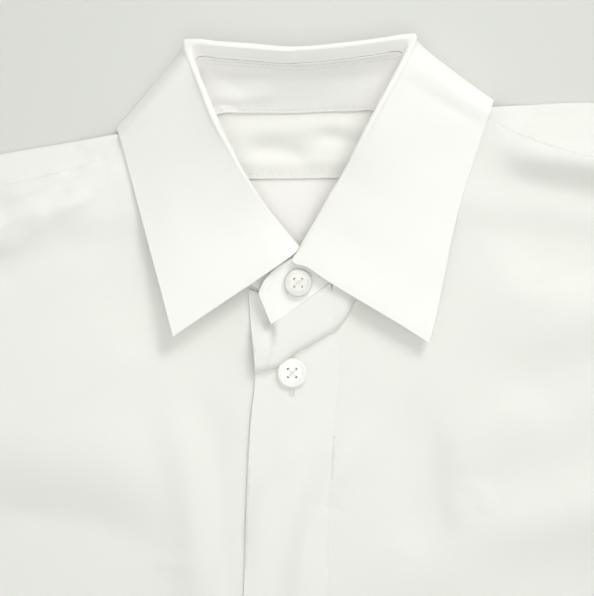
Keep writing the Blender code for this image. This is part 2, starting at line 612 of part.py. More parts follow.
def make_yoke():
    """One piece, unrolled to cut it and rolled over both shoulders to lay it."""
    turn = math.pi * FOLD_RADIUS

    def crest(x):
        return curve_y(SHOULDERS, x) - FOLD_RADIUS

    def unrolled(points):
        return np.column_stack([points[:, 0], 2 * crest(points[:, 0]) - points[:, 1] + turn])

    right_seam = unrolled(plan_curve(SEAM_RIGHT, SEAM_STEP))
    left_seam = unrolled(plan_curve(SEAM_LEFT, SEAM_STEP))
    sides = [
        BACK_SEAM,
        plan_curve([Place(*BACK_SEAM[-1]), Place(*left_seam[-1])]),
        left_seam[::-1],
        *yoke_neck(left_seam[0], crest(NECK_SIDE), right_seam[0], crest(-NECK_SIDE), turn),
        right_seam,
        plan_curve([Place(*right_seam[-1]), Place(*BACK_SEAM[0])]),
    ]
    guides = []
    for run in (SHOULDER_RIGHT, SHOULDER_LEFT):
        line = plan_curve(run)
        line = line[(np.abs(line[:, 0]) > 44) & (np.abs(line[:, 0]) < 202)]
        for part in (0, 0.25, 0.5, 0.75, 1):
            guides.append(line + np.array([0, turn * part - FOLD_RADIUS]))
    flat, faces = cut(sides, lambda x, y: SEAM_STEP, guides)

    x, q = flat[:, 0], flat[:, 1]
    top = np.where(np.abs(x) > NECK_SIDE - 0.5, crest(x), np.inf)
    angle = np.clip((q - top) / FOLD_RADIUS, 0, math.pi)
    y = np.minimum(q, top) + FOLD_RADIUS * np.sin(angle) - np.maximum(q - top - turn, 0)
    lower = BACK_Z + COLLAR_RAISE * raised(x, y) + fold_height(x, y, YOKE_FOLDS)
    upper = np.where(x < 0, under_front_z(x, y), upper_z(x, y))
    z = lower + (upper - lower) * (1 - np.cos(angle)) / 2
    middle = np.column_stack([x, y, z])
    half = normals_of(middle, faces) * WALL / 2
    solid_from("yoke", middle + half, middle - half, faces)


def front_sides(arm, side, hem, forward):
    """The edges of a front that both fronts have, from the forward seam's neck end down to the hem."""
    seam = plan_curve(forward, SEAM_STEP)
    seam = beside(seam, 1.7 * SEAM_GAP if seam[-1, 0] < 0 else -1.7 * SEAM_GAP)
    return [seam, armhole_points(arm, seam[-1, 1] - 2), plan_curve(side), plan_curve(hem)]


def make_fronts():
    edge = thinned(plan_curve(PLACKET_EDGE), band_spacing)
    free = edge[edge[:, 1] < 2] + np.array([UNDERLAP, 0])
    neck = neckline(0, 4)[::-1]
    neck = neck[neck[:, 1] < SEAM_RIGHT[0].y - 1]
    top = plan_curve([Place(*neck[-1]), Place(2, -5.2), Place(*free[0])])
    shared = front_sides(ARMHOLE_RIGHT, SIDE_RIGHT, HEM_OF_RIGHT, SEAM_RIGHT)
    sides = [*shared, free[::-1], top[::-1], neck[::-1]]
    flat, faces = cut(sides, front_spacing, [edge[(edge[:, 1] < -6) & (edge[:, 1] > HEM_FRONT + 5)]])
    lay("front_right", flat, faces, under_front_z)

    neck = neckline(18, len(COLLAR) - 1)
    neck = neck[neck[:, 1] < SEAM_LEFT[0].y - 1]
    joint = edge[edge[:, 1] < 3] + np.array([PLACKET_WIDTH + SEAM_GAP, 0])
    neck = neck[neck[:, 0] > joint[0, 0] + 0.5]
    shared = front_sides(ARMHOLE_LEFT, SIDE_LEFT, HEM_OF_LEFT, SEAM_LEFT)
    sides = [*shared, joint[::-1], neck[::-1]]
    flat, faces = cut(sides, front_spacing, [bulge_line(0, 20, 30), bulge_line(BULGE_RISE, 20, 28)])
    lay("front_left", flat, faces, upper_z)

    inner = edge[edge[:, 1] < 3] + np.array([PLACKET_WIDTH, 0])
    top = plan_curve(PLACKET_TOP)
    top = top[top[:, 0] < inner[0, 0] - 0.5]
    foot = plan_curve([Place(*inner[-1]), Place(*edge[-1])])
    sides = [plan_curve(PLACKET_CORNER), top, inner, foot, edge[::-1]]
    flat, faces = cut(sides, band_spacing, [bulge_line(0, -17, 15), bulge_line(BULGE_RISE, -9, 15)])
    lay("placket", flat, faces, upper_z)


def bulge_line(above, low, high):
    line = plan_curve(BULGE_FOOT)[::-1]
    line = line[(line[:, 0] > low) & (line[:, 0] < high)]
    return line + np.array([0, above])


def band_spacing(x, y):
    if y > -42:
        return 4.5
    return 9.0 if y > -160 else 18.0


def make_sleeve(name, sign, armhole):
    """A flattened tube: its lower layer lies on the surface, and its upper one carries the folds."""
    curve = plan_curve(armhole)
    start = plan_curve(armhole, SEAM_STEP * 1.3)
    start = beside(start, sign * SLEEVE_GAP)
    start[-1, 0] += sign * 1.5 * WALL
    shoulder, underarm = start[0], start[-1]
    along = np.array([sign * math.sin(SLEEVE_ANGLE), -math.cos(SLEEVE_ANGLE)])
    across = np.array([-sign * math.cos(SLEEVE_ANGLE), -math.sin(SLEEVE_ANGLE)])
    steps = np.linspace(0, 1, len(start))[:, None]
    straight = shoulder + (underarm - shoulder) * steps
    rows = []
    for part in np.r_[0, 0.006, 0.035, 0.09, 0.17, 0.26, np.linspace(0.36, 1, 10)]:
        outer = shoulder + along * SLEEVE_LENGTH * part - across * SLEEVE_BOW[0] * math.sin(math.pi * part)
        inner = underarm * (1 - part) + (shoulder + along * SLEEVE_LENGTH + across * CUFF_WIDTH) * part
        inner = inner + across * SLEEVE_BOW[1] * math.sin(math.pi * part)
        row = outer + (inner - outer) * steps + (start - straight) * max(0.0, 1 - part / 0.3) ** 2
        body = sign * np.interp(-row[:, 1], -curve[:, 1], curve[:, 0])
        row[:, 0] = sign * np.maximum(sign * row[:, 0], body + (0 if part == 0 else 3.0))
        rows.append(row)
    plan = np.array(rows)
    first, last = plan[:, 0], plan[:, -1]
    from_first, from_last = plan[:, 1] - first, plan[:, -2] - last
    from_first /= np.linalg.norm(from_first, axis=1)[:, None]
    from_last /= np.linalg.norm(from_last, axis=1)[:, None]
    grid = []
    for row in range(len(plan)):
        body = plan[row, 1:-1]
        offset = body - shoulder
        own_x, own_y = offset @ along, offset @ across
        lift = fold_height(own_x, own_y, SLEEVE_FOLDS)
        part = row / (len(plan) - 1)
        rim = np.minimum(np.linalg.norm(body - first[row], axis=1), np.linalg.norm(body - last[row], axis=1))
        lift = np.maximum(lift, 0) * smooth(2, 16, rim)
        lift *= smooth(0, 0.08, part) * (1 - 0.6 * smooth(0.93, 1, part))
        upper = np.column_stack([body, FRONT_Z + lift])
        below = np.r_[body[:-5:2], body[-4:]]
        lower = np.column_stack([below, np.full(len(below), BACK_Z)])
        turns = []
        for end, toward in ((last[row], from_last[row]), (first[row], from_first[row])):
            arc = []
            for angle in (-90, 0, 90):
                reach_in = WALL + FOLD_RADIUS * (1 - math.cos(math.radians(angle)))
                height = FOLD_RADIUS * math.sin(math.radians(angle)) + (FRONT_Z + BACK_Z) / 2
                arc.append([*(end + toward * reach_in), height])
            turns.append(arc)
        grid.append(np.vstack([lower, turns[0], upper[::-1], turns[1][::-1]]))
    grid = np.array(grid)
    if sign > 0:
        grid = grid[:, ::-1]
    loft(name, grid, ring=True)
    return shoulder + along * SLEEVE_LENGTH, along, across


def make_cuff(name, sign, corner, along, across):
    """A buttoned band, flattened: it starts under its lap, goes round and ends on top."""
    low = CUFF_WALL / 2
    high = low + 2 * FOLD_RADIUS
    lap = high + CUFF_WALL + SEAM_GAP
    button_at = CUFF_WIDTH * CUFF_BUTTON
    turn = np.radians([90, 30, -30, -90])
    fold = list(zip(FOLD_RADIUS * (1 - np.cos(turn)), FOLD_RADIUS * np.sin(turn)))
    path = [(button_at + CUFF_LAP, high), (CUFF_WIDTH - 16, high), (CUFF_WIDTH - 8, high)]
    path += [(CUFF_WIDTH - reach, low + FOLD_RADIUS + rise) for reach, rise in fold]
    path += [(CUFF_WIDTH * 0.66, low), (CUFF_WIDTH * 0.33, low)]
    path += [(reach, low + FOLD_RADIUS + rise) for reach, rise in fold[::-1]]
    path += [(button_at * 0.55, high + 0.1), (button_at - 6, lap - 0.6), (button_at, lap)]
    path += [(button_at + CUFF_LAP - 1, lap)]
    grid = []
    for reach in np.linspace(SEAM_GAP + 0.3, CUFF_LENGTH, 5):
        grid.append([[*(corner + along * reach + across * place), z] for place, z in path])
    grid = np.array(grid)
    if sign > 0:
        grid = grid[:, ::-1]
    loft(name, grid, wall=CUFF_WALL)
    middle = corner + along * CUFF_LENGTH / 2 + across * (button_at + CUFF_LAP / 2)
    return middle, lap + CUFF_WALL / 2


def make_button(name, place, under):
    """A turned disc with a raised rim round a dished middle."""
    base = under + SEAM_GAP
    profile = [
        (0.82, 0.0), (1.0, 0.9), (0.98, BUTTON_THICK - 0.4), (0.88, BUTTON_THICK), (0.7, BUTTON_THICK - 0.7),
    ]
    around = BUTTON_SIDES
    points = [(*place, base)]
    for share, height in profile:
        for step in range(around):
            angle = 2 * math.pi * step / around
            reach = np.array([math.cos(angle), math.sin(angle)]) * BUTTON_RADIUS * share
            points.append((*(place + reach), base + height))
    points.append((*place, base + BUTTON_THICK - 0.8))
    faces = []
    for step in range(around):
        after = (step + 1) % around
        faces.append((0, 1 + after, 1 + step))
        for ring in range(len(profile) - 1):
            a, b = 1 + ring * around + step, 1 + ring * around + after
            faces += [(a, b, b + around), (a, b + around, a + around)]
        last = 1 + (len(profile) - 1) * around
        faces.append((last + step, last + after, len(points) - 1))
    finish(name, points, faces, PEARL, 35)


def make_buttons(cuff_seats):
    make_button("button_collar", COLLAR_BUTTON[:2], COLLAR_BUTTON[2] + WALL / 2)
    for number in range(5):
        y = FIRST_BUTTON[1] - BUTTON_SPACING * number
        x = band_edge(np.array([y]))[0] + (FIRST_BUTTON[0] if number == 0 else PLACKET_WIDTH / 2)
        angles = np.linspace(0, 2 * math.pi, 24)
        ring = np.concatenate([upper_z(x + r * np.cos(angles), y + r * np.sin(angles)) for r in (2.0, 5.2)])
        make_button(f"button_front_{number + 1}", (x, y), ring.max() + WALL / 2)
    for name, (place, top) in cuff_seats.items():
        make_button(name, place, top)


def main():
    for old in list(bpy.data.objects):
        bpy.data.objects.remove(old, do_unlink=True)
    make_back()
    make_yoke()
    make_fronts()
    make_collar()
    seats = {}
    for side, sign, armhole in (("right", -1, ARMHOLE_RIGHT), ("left", 1, ARMHOLE_LEFT)):
        corner, along, across = make_sleeve(f"sleeve_{side}", sign, armhole)
        seats[f"button_cuff_{side}"] = make_cuff(f"cuff_{side}", sign, corner, along, across)
    make_buttons(seats)


main()
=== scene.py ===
# %% [markdown]
# # A crumpled collared shirt, lying flat
# The real thing is a dress shirt of white poplin that was laid on its back on a pale surface, with its
# collar buttoned, and looked at from straight above. A shirt is cut flat, sewn, and then laid down, and it
# is made here in that order: a flat cut, a lie with its folds, then seams, stitches and buttons. The packed
# solids give every place and size, so they are loaded first. Lengths are in millimetres until a mesh is
# made.

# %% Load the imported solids
import math

import bpy
import numpy as np
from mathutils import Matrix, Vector
from mathutils.geometry import delaunay_2d_cdt
from mathutils.kdtree import KDTree


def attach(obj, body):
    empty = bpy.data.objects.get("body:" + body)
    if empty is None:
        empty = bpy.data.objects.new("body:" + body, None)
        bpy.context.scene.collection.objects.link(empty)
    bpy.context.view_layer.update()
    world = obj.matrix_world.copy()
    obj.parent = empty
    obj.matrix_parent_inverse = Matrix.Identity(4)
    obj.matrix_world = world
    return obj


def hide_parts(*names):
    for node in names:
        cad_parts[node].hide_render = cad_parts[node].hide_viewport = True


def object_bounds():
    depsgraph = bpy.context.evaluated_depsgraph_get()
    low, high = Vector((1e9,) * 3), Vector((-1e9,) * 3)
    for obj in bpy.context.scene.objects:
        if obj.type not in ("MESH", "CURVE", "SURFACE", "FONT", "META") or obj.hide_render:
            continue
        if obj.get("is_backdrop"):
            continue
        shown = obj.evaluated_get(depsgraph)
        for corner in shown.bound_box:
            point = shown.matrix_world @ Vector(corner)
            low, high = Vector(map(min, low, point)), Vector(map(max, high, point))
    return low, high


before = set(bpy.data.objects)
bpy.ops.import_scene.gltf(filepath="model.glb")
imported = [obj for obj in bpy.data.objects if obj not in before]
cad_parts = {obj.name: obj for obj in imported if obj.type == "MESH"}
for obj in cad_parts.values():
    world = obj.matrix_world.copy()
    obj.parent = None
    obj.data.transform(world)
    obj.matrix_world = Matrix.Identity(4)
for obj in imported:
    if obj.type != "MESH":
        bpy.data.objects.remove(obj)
cad_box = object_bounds()
MM = 0.001
print("solids:", len(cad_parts))
print("box in mm:", [[round(v / MM, 1) for v in corner] for corner in cad_box])

# %% [markdown]
# ## The camera
# The picture is a close-up: it cuts the shirt off at the shoulders and at mid-chest. A shirt button is
# about 12 mm across and shows as 28 of the picture's 594 pixels, so the picture spans 270 mm of the
# surface. The camera hangs 0.8 m above the origin and looks straight down, so it needs no turn at all.

# %% Hang the camera above the collar
CAMERA_HEIGHT = 0.8
SENSOR_WIDTH = 36
PIXELS_ACROSS = 594
PIXELS_PER_MM = 2.2
PICTURE_WIDTH = PIXELS_ACROSS / PIXELS_PER_MM * MM

camera = bpy.data.objects.new("camera", bpy.data.cameras.new("camera"))
camera.data.sensor_fit = "HORIZONTAL"
camera.data.sensor_width = SENSOR_WIDTH
camera.data.lens = SENSOR_WIDTH * CAMERA_HEIGHT / PICTURE_WIDTH
camera.location = (0, 0, CAMERA_HEIGHT)
bpy.context.scene.collection.objects.link(camera)
bpy.context.scene.camera = camera
print("lens in mm:", round(camera.data.lens, 1))

# %% [markdown]
# ## The surface and the light
# White cloth on a white surface is all about soft light, and here it comes in three parts. The room gives
# about half of it from all sides, faintly green, which tints the shadows. A lamp nearly overhead with a
# narrow spread gives a quarter, and it is what lets the corners of the picture fall off. The last quarter
# comes low from beyond the collar and its right, and it alone draws the shadows of the collar's edges and
# of the folds. The plain Standard view keeps the whites as bright as they are set.

# %% Lay the table and hang the lamps
ROOM_COLOUR = (0.985, 1.0, 0.945, 1)
ROOM_STRENGTH = 0.56
LAMP_SIZE = 0.6
TABLE_REACH = 4

scene = bpy.context.scene
scene.view_settings.view_transform = "Standard"
scene.world = scene.world or bpy.data.worlds.new("room")
scene.world.use_nodes = True
room = scene.world.node_tree.nodes["Background"]
room.inputs["Color"].default_value = ROOM_COLOUR
room.inputs["Strength"].default_value = ROOM_STRENGTH


def hang_lamp(name, place, target, power, colour, spread=180):
    """A square lamp that faces its target. A narrow spread, in degrees, brightens the middle."""
    lamp = bpy.data.objects.new(name, bpy.data.lights.new(name, "AREA"))
    lamp.data.size = LAMP_SIZE
    lamp.data.spread = math.radians(spread)
    lamp.data.energy = power
    lamp.data.color = colour
    lamp.location = place
    lamp.rotation_euler = (Vector(place) - Vector(target)).to_track_quat("Z", "Y").to_euler()
    scene.collection.objects.link(lamp)


hang_lamp("lamp_over", (0.0, -0.12, 0.86), (0, 0.03, 0), 0.31, (1.0, 0.99, 0.98), spread=50)
hang_lamp("lamp_low", (0.6, 1.05, 1.05), (0, 0, 0), 9.6, (1.0, 0.985, 0.98))
table_corners = [(x * TABLE_REACH, y * TABLE_REACH, 0) for x, y in ((-1, -1), (1, -1), (1, 1), (-1, 1))]
table_mesh = bpy.data.meshes.new("table")
table_mesh.from_pydata(table_corners, [], [(0, 1, 2, 3)])
table = bpy.data.objects.new("table", table_mesh)
scene.collection.objects.link(table)
table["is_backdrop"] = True
print("lamps:", [light.name for light in bpy.data.lights])

# %% [markdown]
# ## Tape measure
# Every piece below is a cut outline or a row of cross-sections, read off smooth curves through a few
# places. These helpers are the tape measure and the curve ruler: a soft step, a curve through the rows of a
# table, the length along it, and its height in the plan.

# %% Curves through the rows of a table


def smooth(low, high, value):
    """A soft step from 0 to 1 between two values, or down from 1 to 0 if the first is the higher one."""
    part = np.clip((value - low) / (high - low), 0.0, 1.0)
    return part * part * (3.0 - 2.0 * part)


def bell(distance, reach):
    """1 at no distance, and fading to nothing beyond its reach."""
    return np.exp(-((distance / reach) ** 2))


def run_of(rows):
    """The length along a line, up to each of its points."""
    return np.r_[0.0, np.cumsum(np.linalg.norm(np.diff(np.asarray(rows, float), axis=0), axis=1))]


def through(rows, knots, places):
    """A smooth curve through the rows of a table, read at any places along its knots."""
    rows = np.asarray(rows, float)
    slopes = np.gradient(rows, knots, axis=0)
    first = np.clip(np.searchsorted(knots, places, side="right") - 1, 0, len(knots) - 2)
    span = (knots[first + 1] - knots[first])[:, None]
    part = ((places - knots[first]) / span[:, 0])[:, None]
    square, cube = part**2, part**3
    return (
        (2 * cube - 3 * square + 1) * rows[first]
        + (cube - 2 * square + part) * span * slopes[first]
        + (3 * square - 2 * cube) * rows[first + 1]
        + (cube - square) * span * slopes[first + 1]
    )


def plan_curve(places, step=1.0):
    """A curve through places, as points that are a step apart."""
    knots = run_of(places)
    return through(places, knots, np.linspace(0, knots[-1], max(2, round(knots[-1] / step) + 1)))


def curve_y(curve, x):
    order = np.argsort(curve[:, 0])
    return np.interp(x, curve[order, 0], curve[order, 1])


def unit(vectors):
    return vectors / np.maximum(np.linalg.norm(vectors, axis=-1, keepdims=True), 1e-9)


def beside(curve, distance):
    """A plan curve moved to the left of its run."""
    run = unit(np.gradient(curve, axis=0))
    return curve + np.column_stack([-run[:, 1], run[:, 0]]) * distance


def nearest(points, curve):
    """For each plan point: the number of the curve's nearest point, and how far it is."""
    tree = KDTree(len(curve))
    for number, (x, y) in enumerate(curve):
        tree.insert((x, y, 0), number)
    tree.balance()
    found = [tree.find((x, y, 0)) for x, y in points]
    return np.array([hit[1] for hit in found]), np.array([hit[2] for hit in found])

# %% [markdown]
# ## Poplin, thread and pearl
# Poplin is a fine plain weave, so from a step away it is a matt white with a faint grain, small slubs and
# the soft unevenness of cloth that has been worn and folded. Along a sewn line it dips and puckers. Three
# node groups give these as heights and masks: one for the weave, one for the handling and one for a sewn
# line. They read two attributes that each piece carries, "cut", its place on the flat cut, and "seam", how
# far along and across the nearest seam it lies, so that the grain follows the cloth round every bend.

# %% Helpers that add nodes and node groups


def put(tree, kind, sockets=None, **settings):
    """Adds one node, with its settings, and with its sockets filled or linked."""
    made = tree.nodes.new(kind)
    for name, value in settings.items():
        setattr(made, name, value)
    for name, value in (sockets or {}).items():
        if isinstance(value, bpy.types.NodeSocket):
            tree.links.new(value, made.inputs[name])
        else:
            made.inputs[name].default_value = value
    return made


def reckon(tree, operation, *values):
    """Adds one math node and gives its answer."""
    made = put(tree, "ShaderNodeMath", dict(enumerate(values)), operation=operation)
    return made.outputs[0]


def start_group(name, kind, inputs, outputs):
    """Starts a node group with named sockets. Gives the group, its inside inputs and its output node."""
    tree = bpy.data.node_groups.new(name, kind)
    for direction, sockets in (("INPUT", inputs), ("OUTPUT", outputs)):
        for label, (sort, value) in sockets.items():
            socket = tree.interface.new_socket(label, in_out=direction, socket_type="NodeSocket" + sort)
            if value is not None:
                socket.default_value = value
    return tree, tree.nodes.new("NodeGroupInput").outputs, tree.nodes.new("NodeGroupOutput")


def noise(tree, place, scale, detail):
    """Adds a noise and gives its value at a place."""
    made = put(tree, "ShaderNodeTexNoise", {"Vector": place, "Scale": scale, "Detail": detail})
    return made.outputs[0]


# %% The weave: threads that cross, with slubs in them
weave, inside, result = start_group(
    "plain weave", "ShaderNodeTree",
    {"Cut": ("Vector", None), "Threads per mm": ("Float", 2.2)},
    {"Height": ("Float", None), "Slubs": ("Float", None)},
)
place = put(weave, "ShaderNodeSeparateXYZ", {0: inside["Cut"]})
phase = reckon(weave, "MULTIPLY", inside["Threads per mm"], math.pi)
warp = reckon(weave, "SINE", reckon(weave, "MULTIPLY", place.outputs[0], phase))
weft = reckon(weave, "SINE", reckon(weave, "MULTIPLY", place.outputs[1], phase))
weave.links.new(reckon(weave, "ABSOLUTE", reckon(weave, "MULTIPLY", warp, weft)), result.inputs["Height"])
slubs = []
for stretch in ((3.0, 0.12, 1.0), (0.12, 3.0, 1.0)):
    drawn = put(weave, "ShaderNodeVectorMath", {0: inside["Cut"], 1: stretch}, operation="MULTIPLY")
    slubs.append(noise(weave, drawn.outputs[0], 0.9, 2.0))
weave.links.new(reckon(weave, "MULTIPLY", reckon(weave, "ADD", *slubs), 0.5), result.inputs["Slubs"])

# %% The handling: soft unevenness left by wearing and folding
handled, inside, result = start_group(
    "handled cloth", "ShaderNodeTree",
    {"Cut": ("Vector", None), "Broad": ("Float", 0.3), "Fine": ("Float", 0.05)},
    {"Height": ("Float", None)},
)
broad = noise(handled, inside["Cut"], 0.045, 2.0)
fine = noise(handled, inside["Cut"], 0.21, 3.0)
height = reckon(handled, "MULTIPLY", broad, inside["Broad"])
handled.links.new(reckon(handled, "MULTIPLY_ADD", fine, inside["Fine"], height), result.inputs["Height"])

# %% A sewn line: a dip along the thread, and puckers on both sides of it
sewn, inside, result = start_group(
    "sewn line", "ShaderNodeTree",
    {"Seam": ("Vector", None), "Dip": ("Float", 0.2), "Pucker": ("Float", 0.2), "Reach": ("Float", 3.5)},
    {"Height": ("Float", None)},
)
place = put(sewn, "ShaderNodeSeparateXYZ", {0: inside["Seam"]})


def fading(tree, distance, reach):
    """A bell curve over the distance."""
    share = reckon(tree, "DIVIDE", distance, reach)
    return reckon(tree, "EXPONENT", reckon(tree, "MULTIPLY", reckon(tree, "MULTIPLY", share, share), -1.0))


dip = reckon(sewn, "MULTIPLY", fading(sewn, place.outputs[1], 0.7), inside["Dip"])
ripple = put(
    sewn, "ShaderNodeTexNoise", {"W": place.outputs[0], "Scale": 0.3, "Detail": 1.0}, noise_dimensions="1D",
).outputs[0]
ripple = reckon(sewn, "MULTIPLY", reckon(sewn, "SUBTRACT", ripple, 0.5), inside["Pucker"])
ripple = reckon(sewn, "MULTIPLY", ripple, fading(sewn, place.outputs[1], inside["Reach"]))
sewn.links.new(reckon(sewn, "SUBTRACT", ripple, dip), result.inputs["Height"])
print("node groups:", [group.name for group in (weave, handled, sewn)])

# %% [markdown]
# The cloth's material puts the three together. Heights are in millimetres, so the bump's distance is one
# millimetre. Slubs darken the white by a hair. Sheen is one even number, set on the shader itself: cotton
# has a little, from the fuzz of its fibres. The collar and cuffs are fused to an interlining, which makes
# them smoother and whiter, so they get the same recipe with less handling. The collar's stand, which light
# reaches last, gets the whitest cotton of all: that whiteness is painted light, which brightens its shaded
# inside. The doubled band is whiter than the rest of the body too, as nothing darker shows through it. The
# back is whiter as well, and that is painted light, for the brightly lit back inside the neck.

# %% Helpers for a material and for a mix of two colours


def painted(name, finish):
    """A new material with a finish on its shader. Gives the material, its tree and its shader's sockets."""
    material = bpy.data.materials.new(name)
    material.use_nodes = True
    sockets = material.node_tree.nodes["Principled BSDF"].inputs
    for label, value in finish.items():
        sockets[label].default_value = value
    return material, material.node_tree, sockets


def mixed(tree, share, dark, light):
    """Adds a mix of two colours and gives the mixed one."""
    return put(tree, "ShaderNodeMix", {0: share, 6: dark, 7: light}, data_type="RGBA").outputs[2]


# %% Five cottons from one recipe, and the sewing thread
WEAVE_HEIGHT = 0.035
SLUB_SHADE = 0.965
COTTON_FINISH = {
    "Roughness": 0.82, "Sheen Weight": 0.12, "Sheen Roughness": 0.5, "Specular IOR Level": 0.3,
}


def cotton(name, white, broad, fine, dip, pucker):
    """A poplin. Broad and fine are the heights of its unevenness, dip and pucker those of its seams."""
    material, tree, sockets = painted(name, COTTON_FINISH)
    cut = put(tree, "ShaderNodeAttribute", attribute_name="cut").outputs["Vector"]
    seam = put(tree, "ShaderNodeAttribute", attribute_name="seam").outputs["Vector"]
    threads = put(tree, "ShaderNodeGroup", {"Cut": cut}, node_tree=weave)
    worn = put(tree, "ShaderNodeGroup", {"Cut": cut, "Broad": broad, "Fine": fine}, node_tree=handled)
    line = put(tree, "ShaderNodeGroup", {"Seam": seam, "Dip": dip, "Pucker": pucker}, node_tree=sewn)
    height = reckon(tree, "MULTIPLY_ADD", threads.outputs["Height"], WEAVE_HEIGHT, worn.outputs["Height"])
    height = reckon(tree, "ADD", height, line.outputs["Height"])
    bump = put(tree, "ShaderNodeBump", {"Height": height, "Distance": MM, "Strength": 1.0})
    dull = tuple(SLUB_SHADE * channel for channel in white) + (1,)
    tree.links.new(mixed(tree, threads.outputs["Slubs"], dull, (*white, 1)), sockets["Base Color"])
    tree.links.new(bump.outputs["Normal"], sockets["Normal"])
    return material


body_cotton = cotton("poplin", (0.875, 0.878, 0.845), 0.4, 0.06, 0.05, 0.18)
band_cotton = cotton("poplin_band", (0.893, 0.895, 0.865), 0.3, 0.05, 0.05, 0.1)
# The back's cotton is whiter than the body's: painted light, so the back inside the neck shows bright.
lit_back_cotton = cotton("poplin_back_painted_light", (0.935, 0.935, 0.91), 0.3, 0.05, 0.05, 0.1)
fused_cotton = cotton("poplin_fused", (0.96, 0.955, 0.935), 0.12, 0.02, 0.12, 0.1)
# The stand's cotton is whiter than any other: painted light, which brightens its shaded inside.
lit_stand_cotton = cotton("poplin_stand_painted_light", (0.985, 0.982, 0.965), 0.12, 0.02, 0.12, 0.1)

thread_cotton, tree, sockets = painted("sewing_thread", {"Roughness": 0.6})
strands = noise(tree, put(tree, "ShaderNodeTexCoord").outputs["Object"], 2500.0, 1.0)
shade = mixed(tree, strands, (0.78, 0.775, 0.74, 1), (0.9, 0.895, 0.86, 1))
tree.links.new(shade, sockets["Base Color"])
print("cottons:", [material.name for material in bpy.data.materials if "poplin" in material.name])

# %% [markdown]
# Shirt buttons are turned from shell or from polyester made to look like it: pale, with cloudy bands, and
# with a clear gloss over them. The bands are a stretched noise, and the gloss is the shader's own coat. The
# collar's button lies in the shade of the leaf, so it has a greyer pearl of its own: painted shade.

# %% Pearl for the buttons, white, and grey as painted shade
PEARL_FINISH = {"Roughness": 0.28, "Coat Weight": 0.6, "Coat Roughness": 0.08}
PEARL_BANDS = {"Rotation": (0.3, 0.2, 0.6), "Scale": (260, 900, 500)}


def pearl_of(name, dark, light):
    """A pearl with cloudy bands between two colours."""
    material, tree, sockets = painted(name, PEARL_FINISH)
    place = put(tree, "ShaderNodeTexCoord").outputs["Object"]
    banded = put(tree, "ShaderNodeMapping", {"Vector": place, **PEARL_BANDS}).outputs[0]
    tree.links.new(mixed(tree, noise(tree, banded, 0.6, 3.0), dark, light), sockets["Base Color"])
    return material


pearl = pearl_of("pearl", (0.86, 0.855, 0.83, 1), (0.96, 0.955, 0.93, 1))
# The grey pearl is painted shade, for the collar's button under the leaf.
shaded_pearl = pearl_of("pearl_painted_shade", (0.68, 0.68, 0.64, 1), (0.9, 0.9, 0.86, 1))

table_paint = painted("table_paint", {"Base Color": (0.7, 0.715, 0.685, 1), "Roughness": 0.9})[0]
table_mesh.materials.append(table_paint)
print("materials:", [material.name for material in (pearl, shaded_pearl, table_paint)])

# %% [markdown]
# ## Cutting a flat piece
# A cut piece is an outline that is filled with triangles, close together where the picture shows the cloth
# and where a sharp fold runs, and wider elsewhere. Blender's Delaunay triangulation fills an outline and
# keeps lines drawn inside it. The result stays flat: it is the paper pattern, and its area is the area of
# the cloth.

# %% Points along a line, and points inside an outline
PITCHES = (0.7, 1.5, 4.0, 8.0)
ROOM_TO_RIM = 0.6


def spaced(curve, pitch):
    """The points of a close curve that are as far apart as the pitch asks."""
    wanted = pitch(curve[:, 0], curve[:, 1])
    kept = [curve[0]]
    for point, step in zip(curve[1:-1], wanted[1:-1]):
        if math.dist(point, kept[-1]) >= step:
            kept.append(point)
    if len(kept) > 1 and math.dist(curve[-1], kept[-1]) < 0.5 * wanted[-1]:
        kept.pop()
    return np.array(kept + [curve[-1]])


def inside_of(points, outline):
    """Which points lie inside an outline."""
    x, y = points[:, 0], points[:, 1]
    inside = np.zeros(len(points), bool)
    for (x0, y0), (x1, y1) in zip(outline, np.roll(outline, -1, axis=0)):
        crosses = (y0 > y) != (y1 > y)
        inside ^= crosses & (x < (x1 - x0) * (y - y0) / ((y1 - y0) or 1e-9) + x0)
    return inside


# %% Cut an outline out of a field of points


def cut(sides, pitch, guides=()):
    """Cuts the piece whose outline is the sides end to end. Gives its flat points and its triangles."""
    rims = [spaced(side, pitch) for side in sides]
    after = rims[1:] + rims[:1]
    outline = np.vstack([rim[:-1] if np.allclose(rim[-1], on[0]) else rim for rim, on in zip(rims, after)])
    lines = [spaced(guide, pitch) for guide in guides]
    fixed = np.vstack([outline, *lines])
    low, high = outline.min(axis=0), outline.max(axis=0)
    field = []
    for step in PITCHES:
        columns = np.arange(low[0], high[0], step)
        x, y = np.meshgrid(columns, np.arange(low[1], high[1], step * math.sqrt(0.75)))
        x[1::2] += step / 2
        row = np.column_stack([x.ravel(), y.ravel()])
        field.append(row[pitch(row[:, 0], row[:, 1]) == step])
    field = np.vstack(field)
    field = field[inside_of(field, outline)]
    _, room = nearest(field, fixed)
    points = np.vstack([fixed, field[room > ROOM_TO_RIM * pitch(field[:, 0], field[:, 1])]])
    edges = []
    start = len(outline)
    for line in lines:
        edges += [(start + n, start + n + 1) for n in range(len(line) - 1)]
        start += len(line)
    result = delaunay_2d_cdt([Vector(p) for p in points], edges, [list(range(len(outline)))], 1, 1e-4)
    return np.array([tuple(v) for v in result[0]]), np.array([tuple(f) for f in result[2]])

# %% [markdown]
# ## Giving the cloth its thickness
# Two skins of the same triangles, one above the other, are joined round the rim. Real edges are turned
# under and pressed, so the rim is pushed out a little in its middle, which rounds it. The cut and the
# nearest seam are stored on the points for the material, and the size of the flat cut is noted.

# %% Join two skins into a shell
WALL = 1.2
RIM = 0.3
SEAM_REACH = 12.0
shirt = {}
flat_sizes = {}


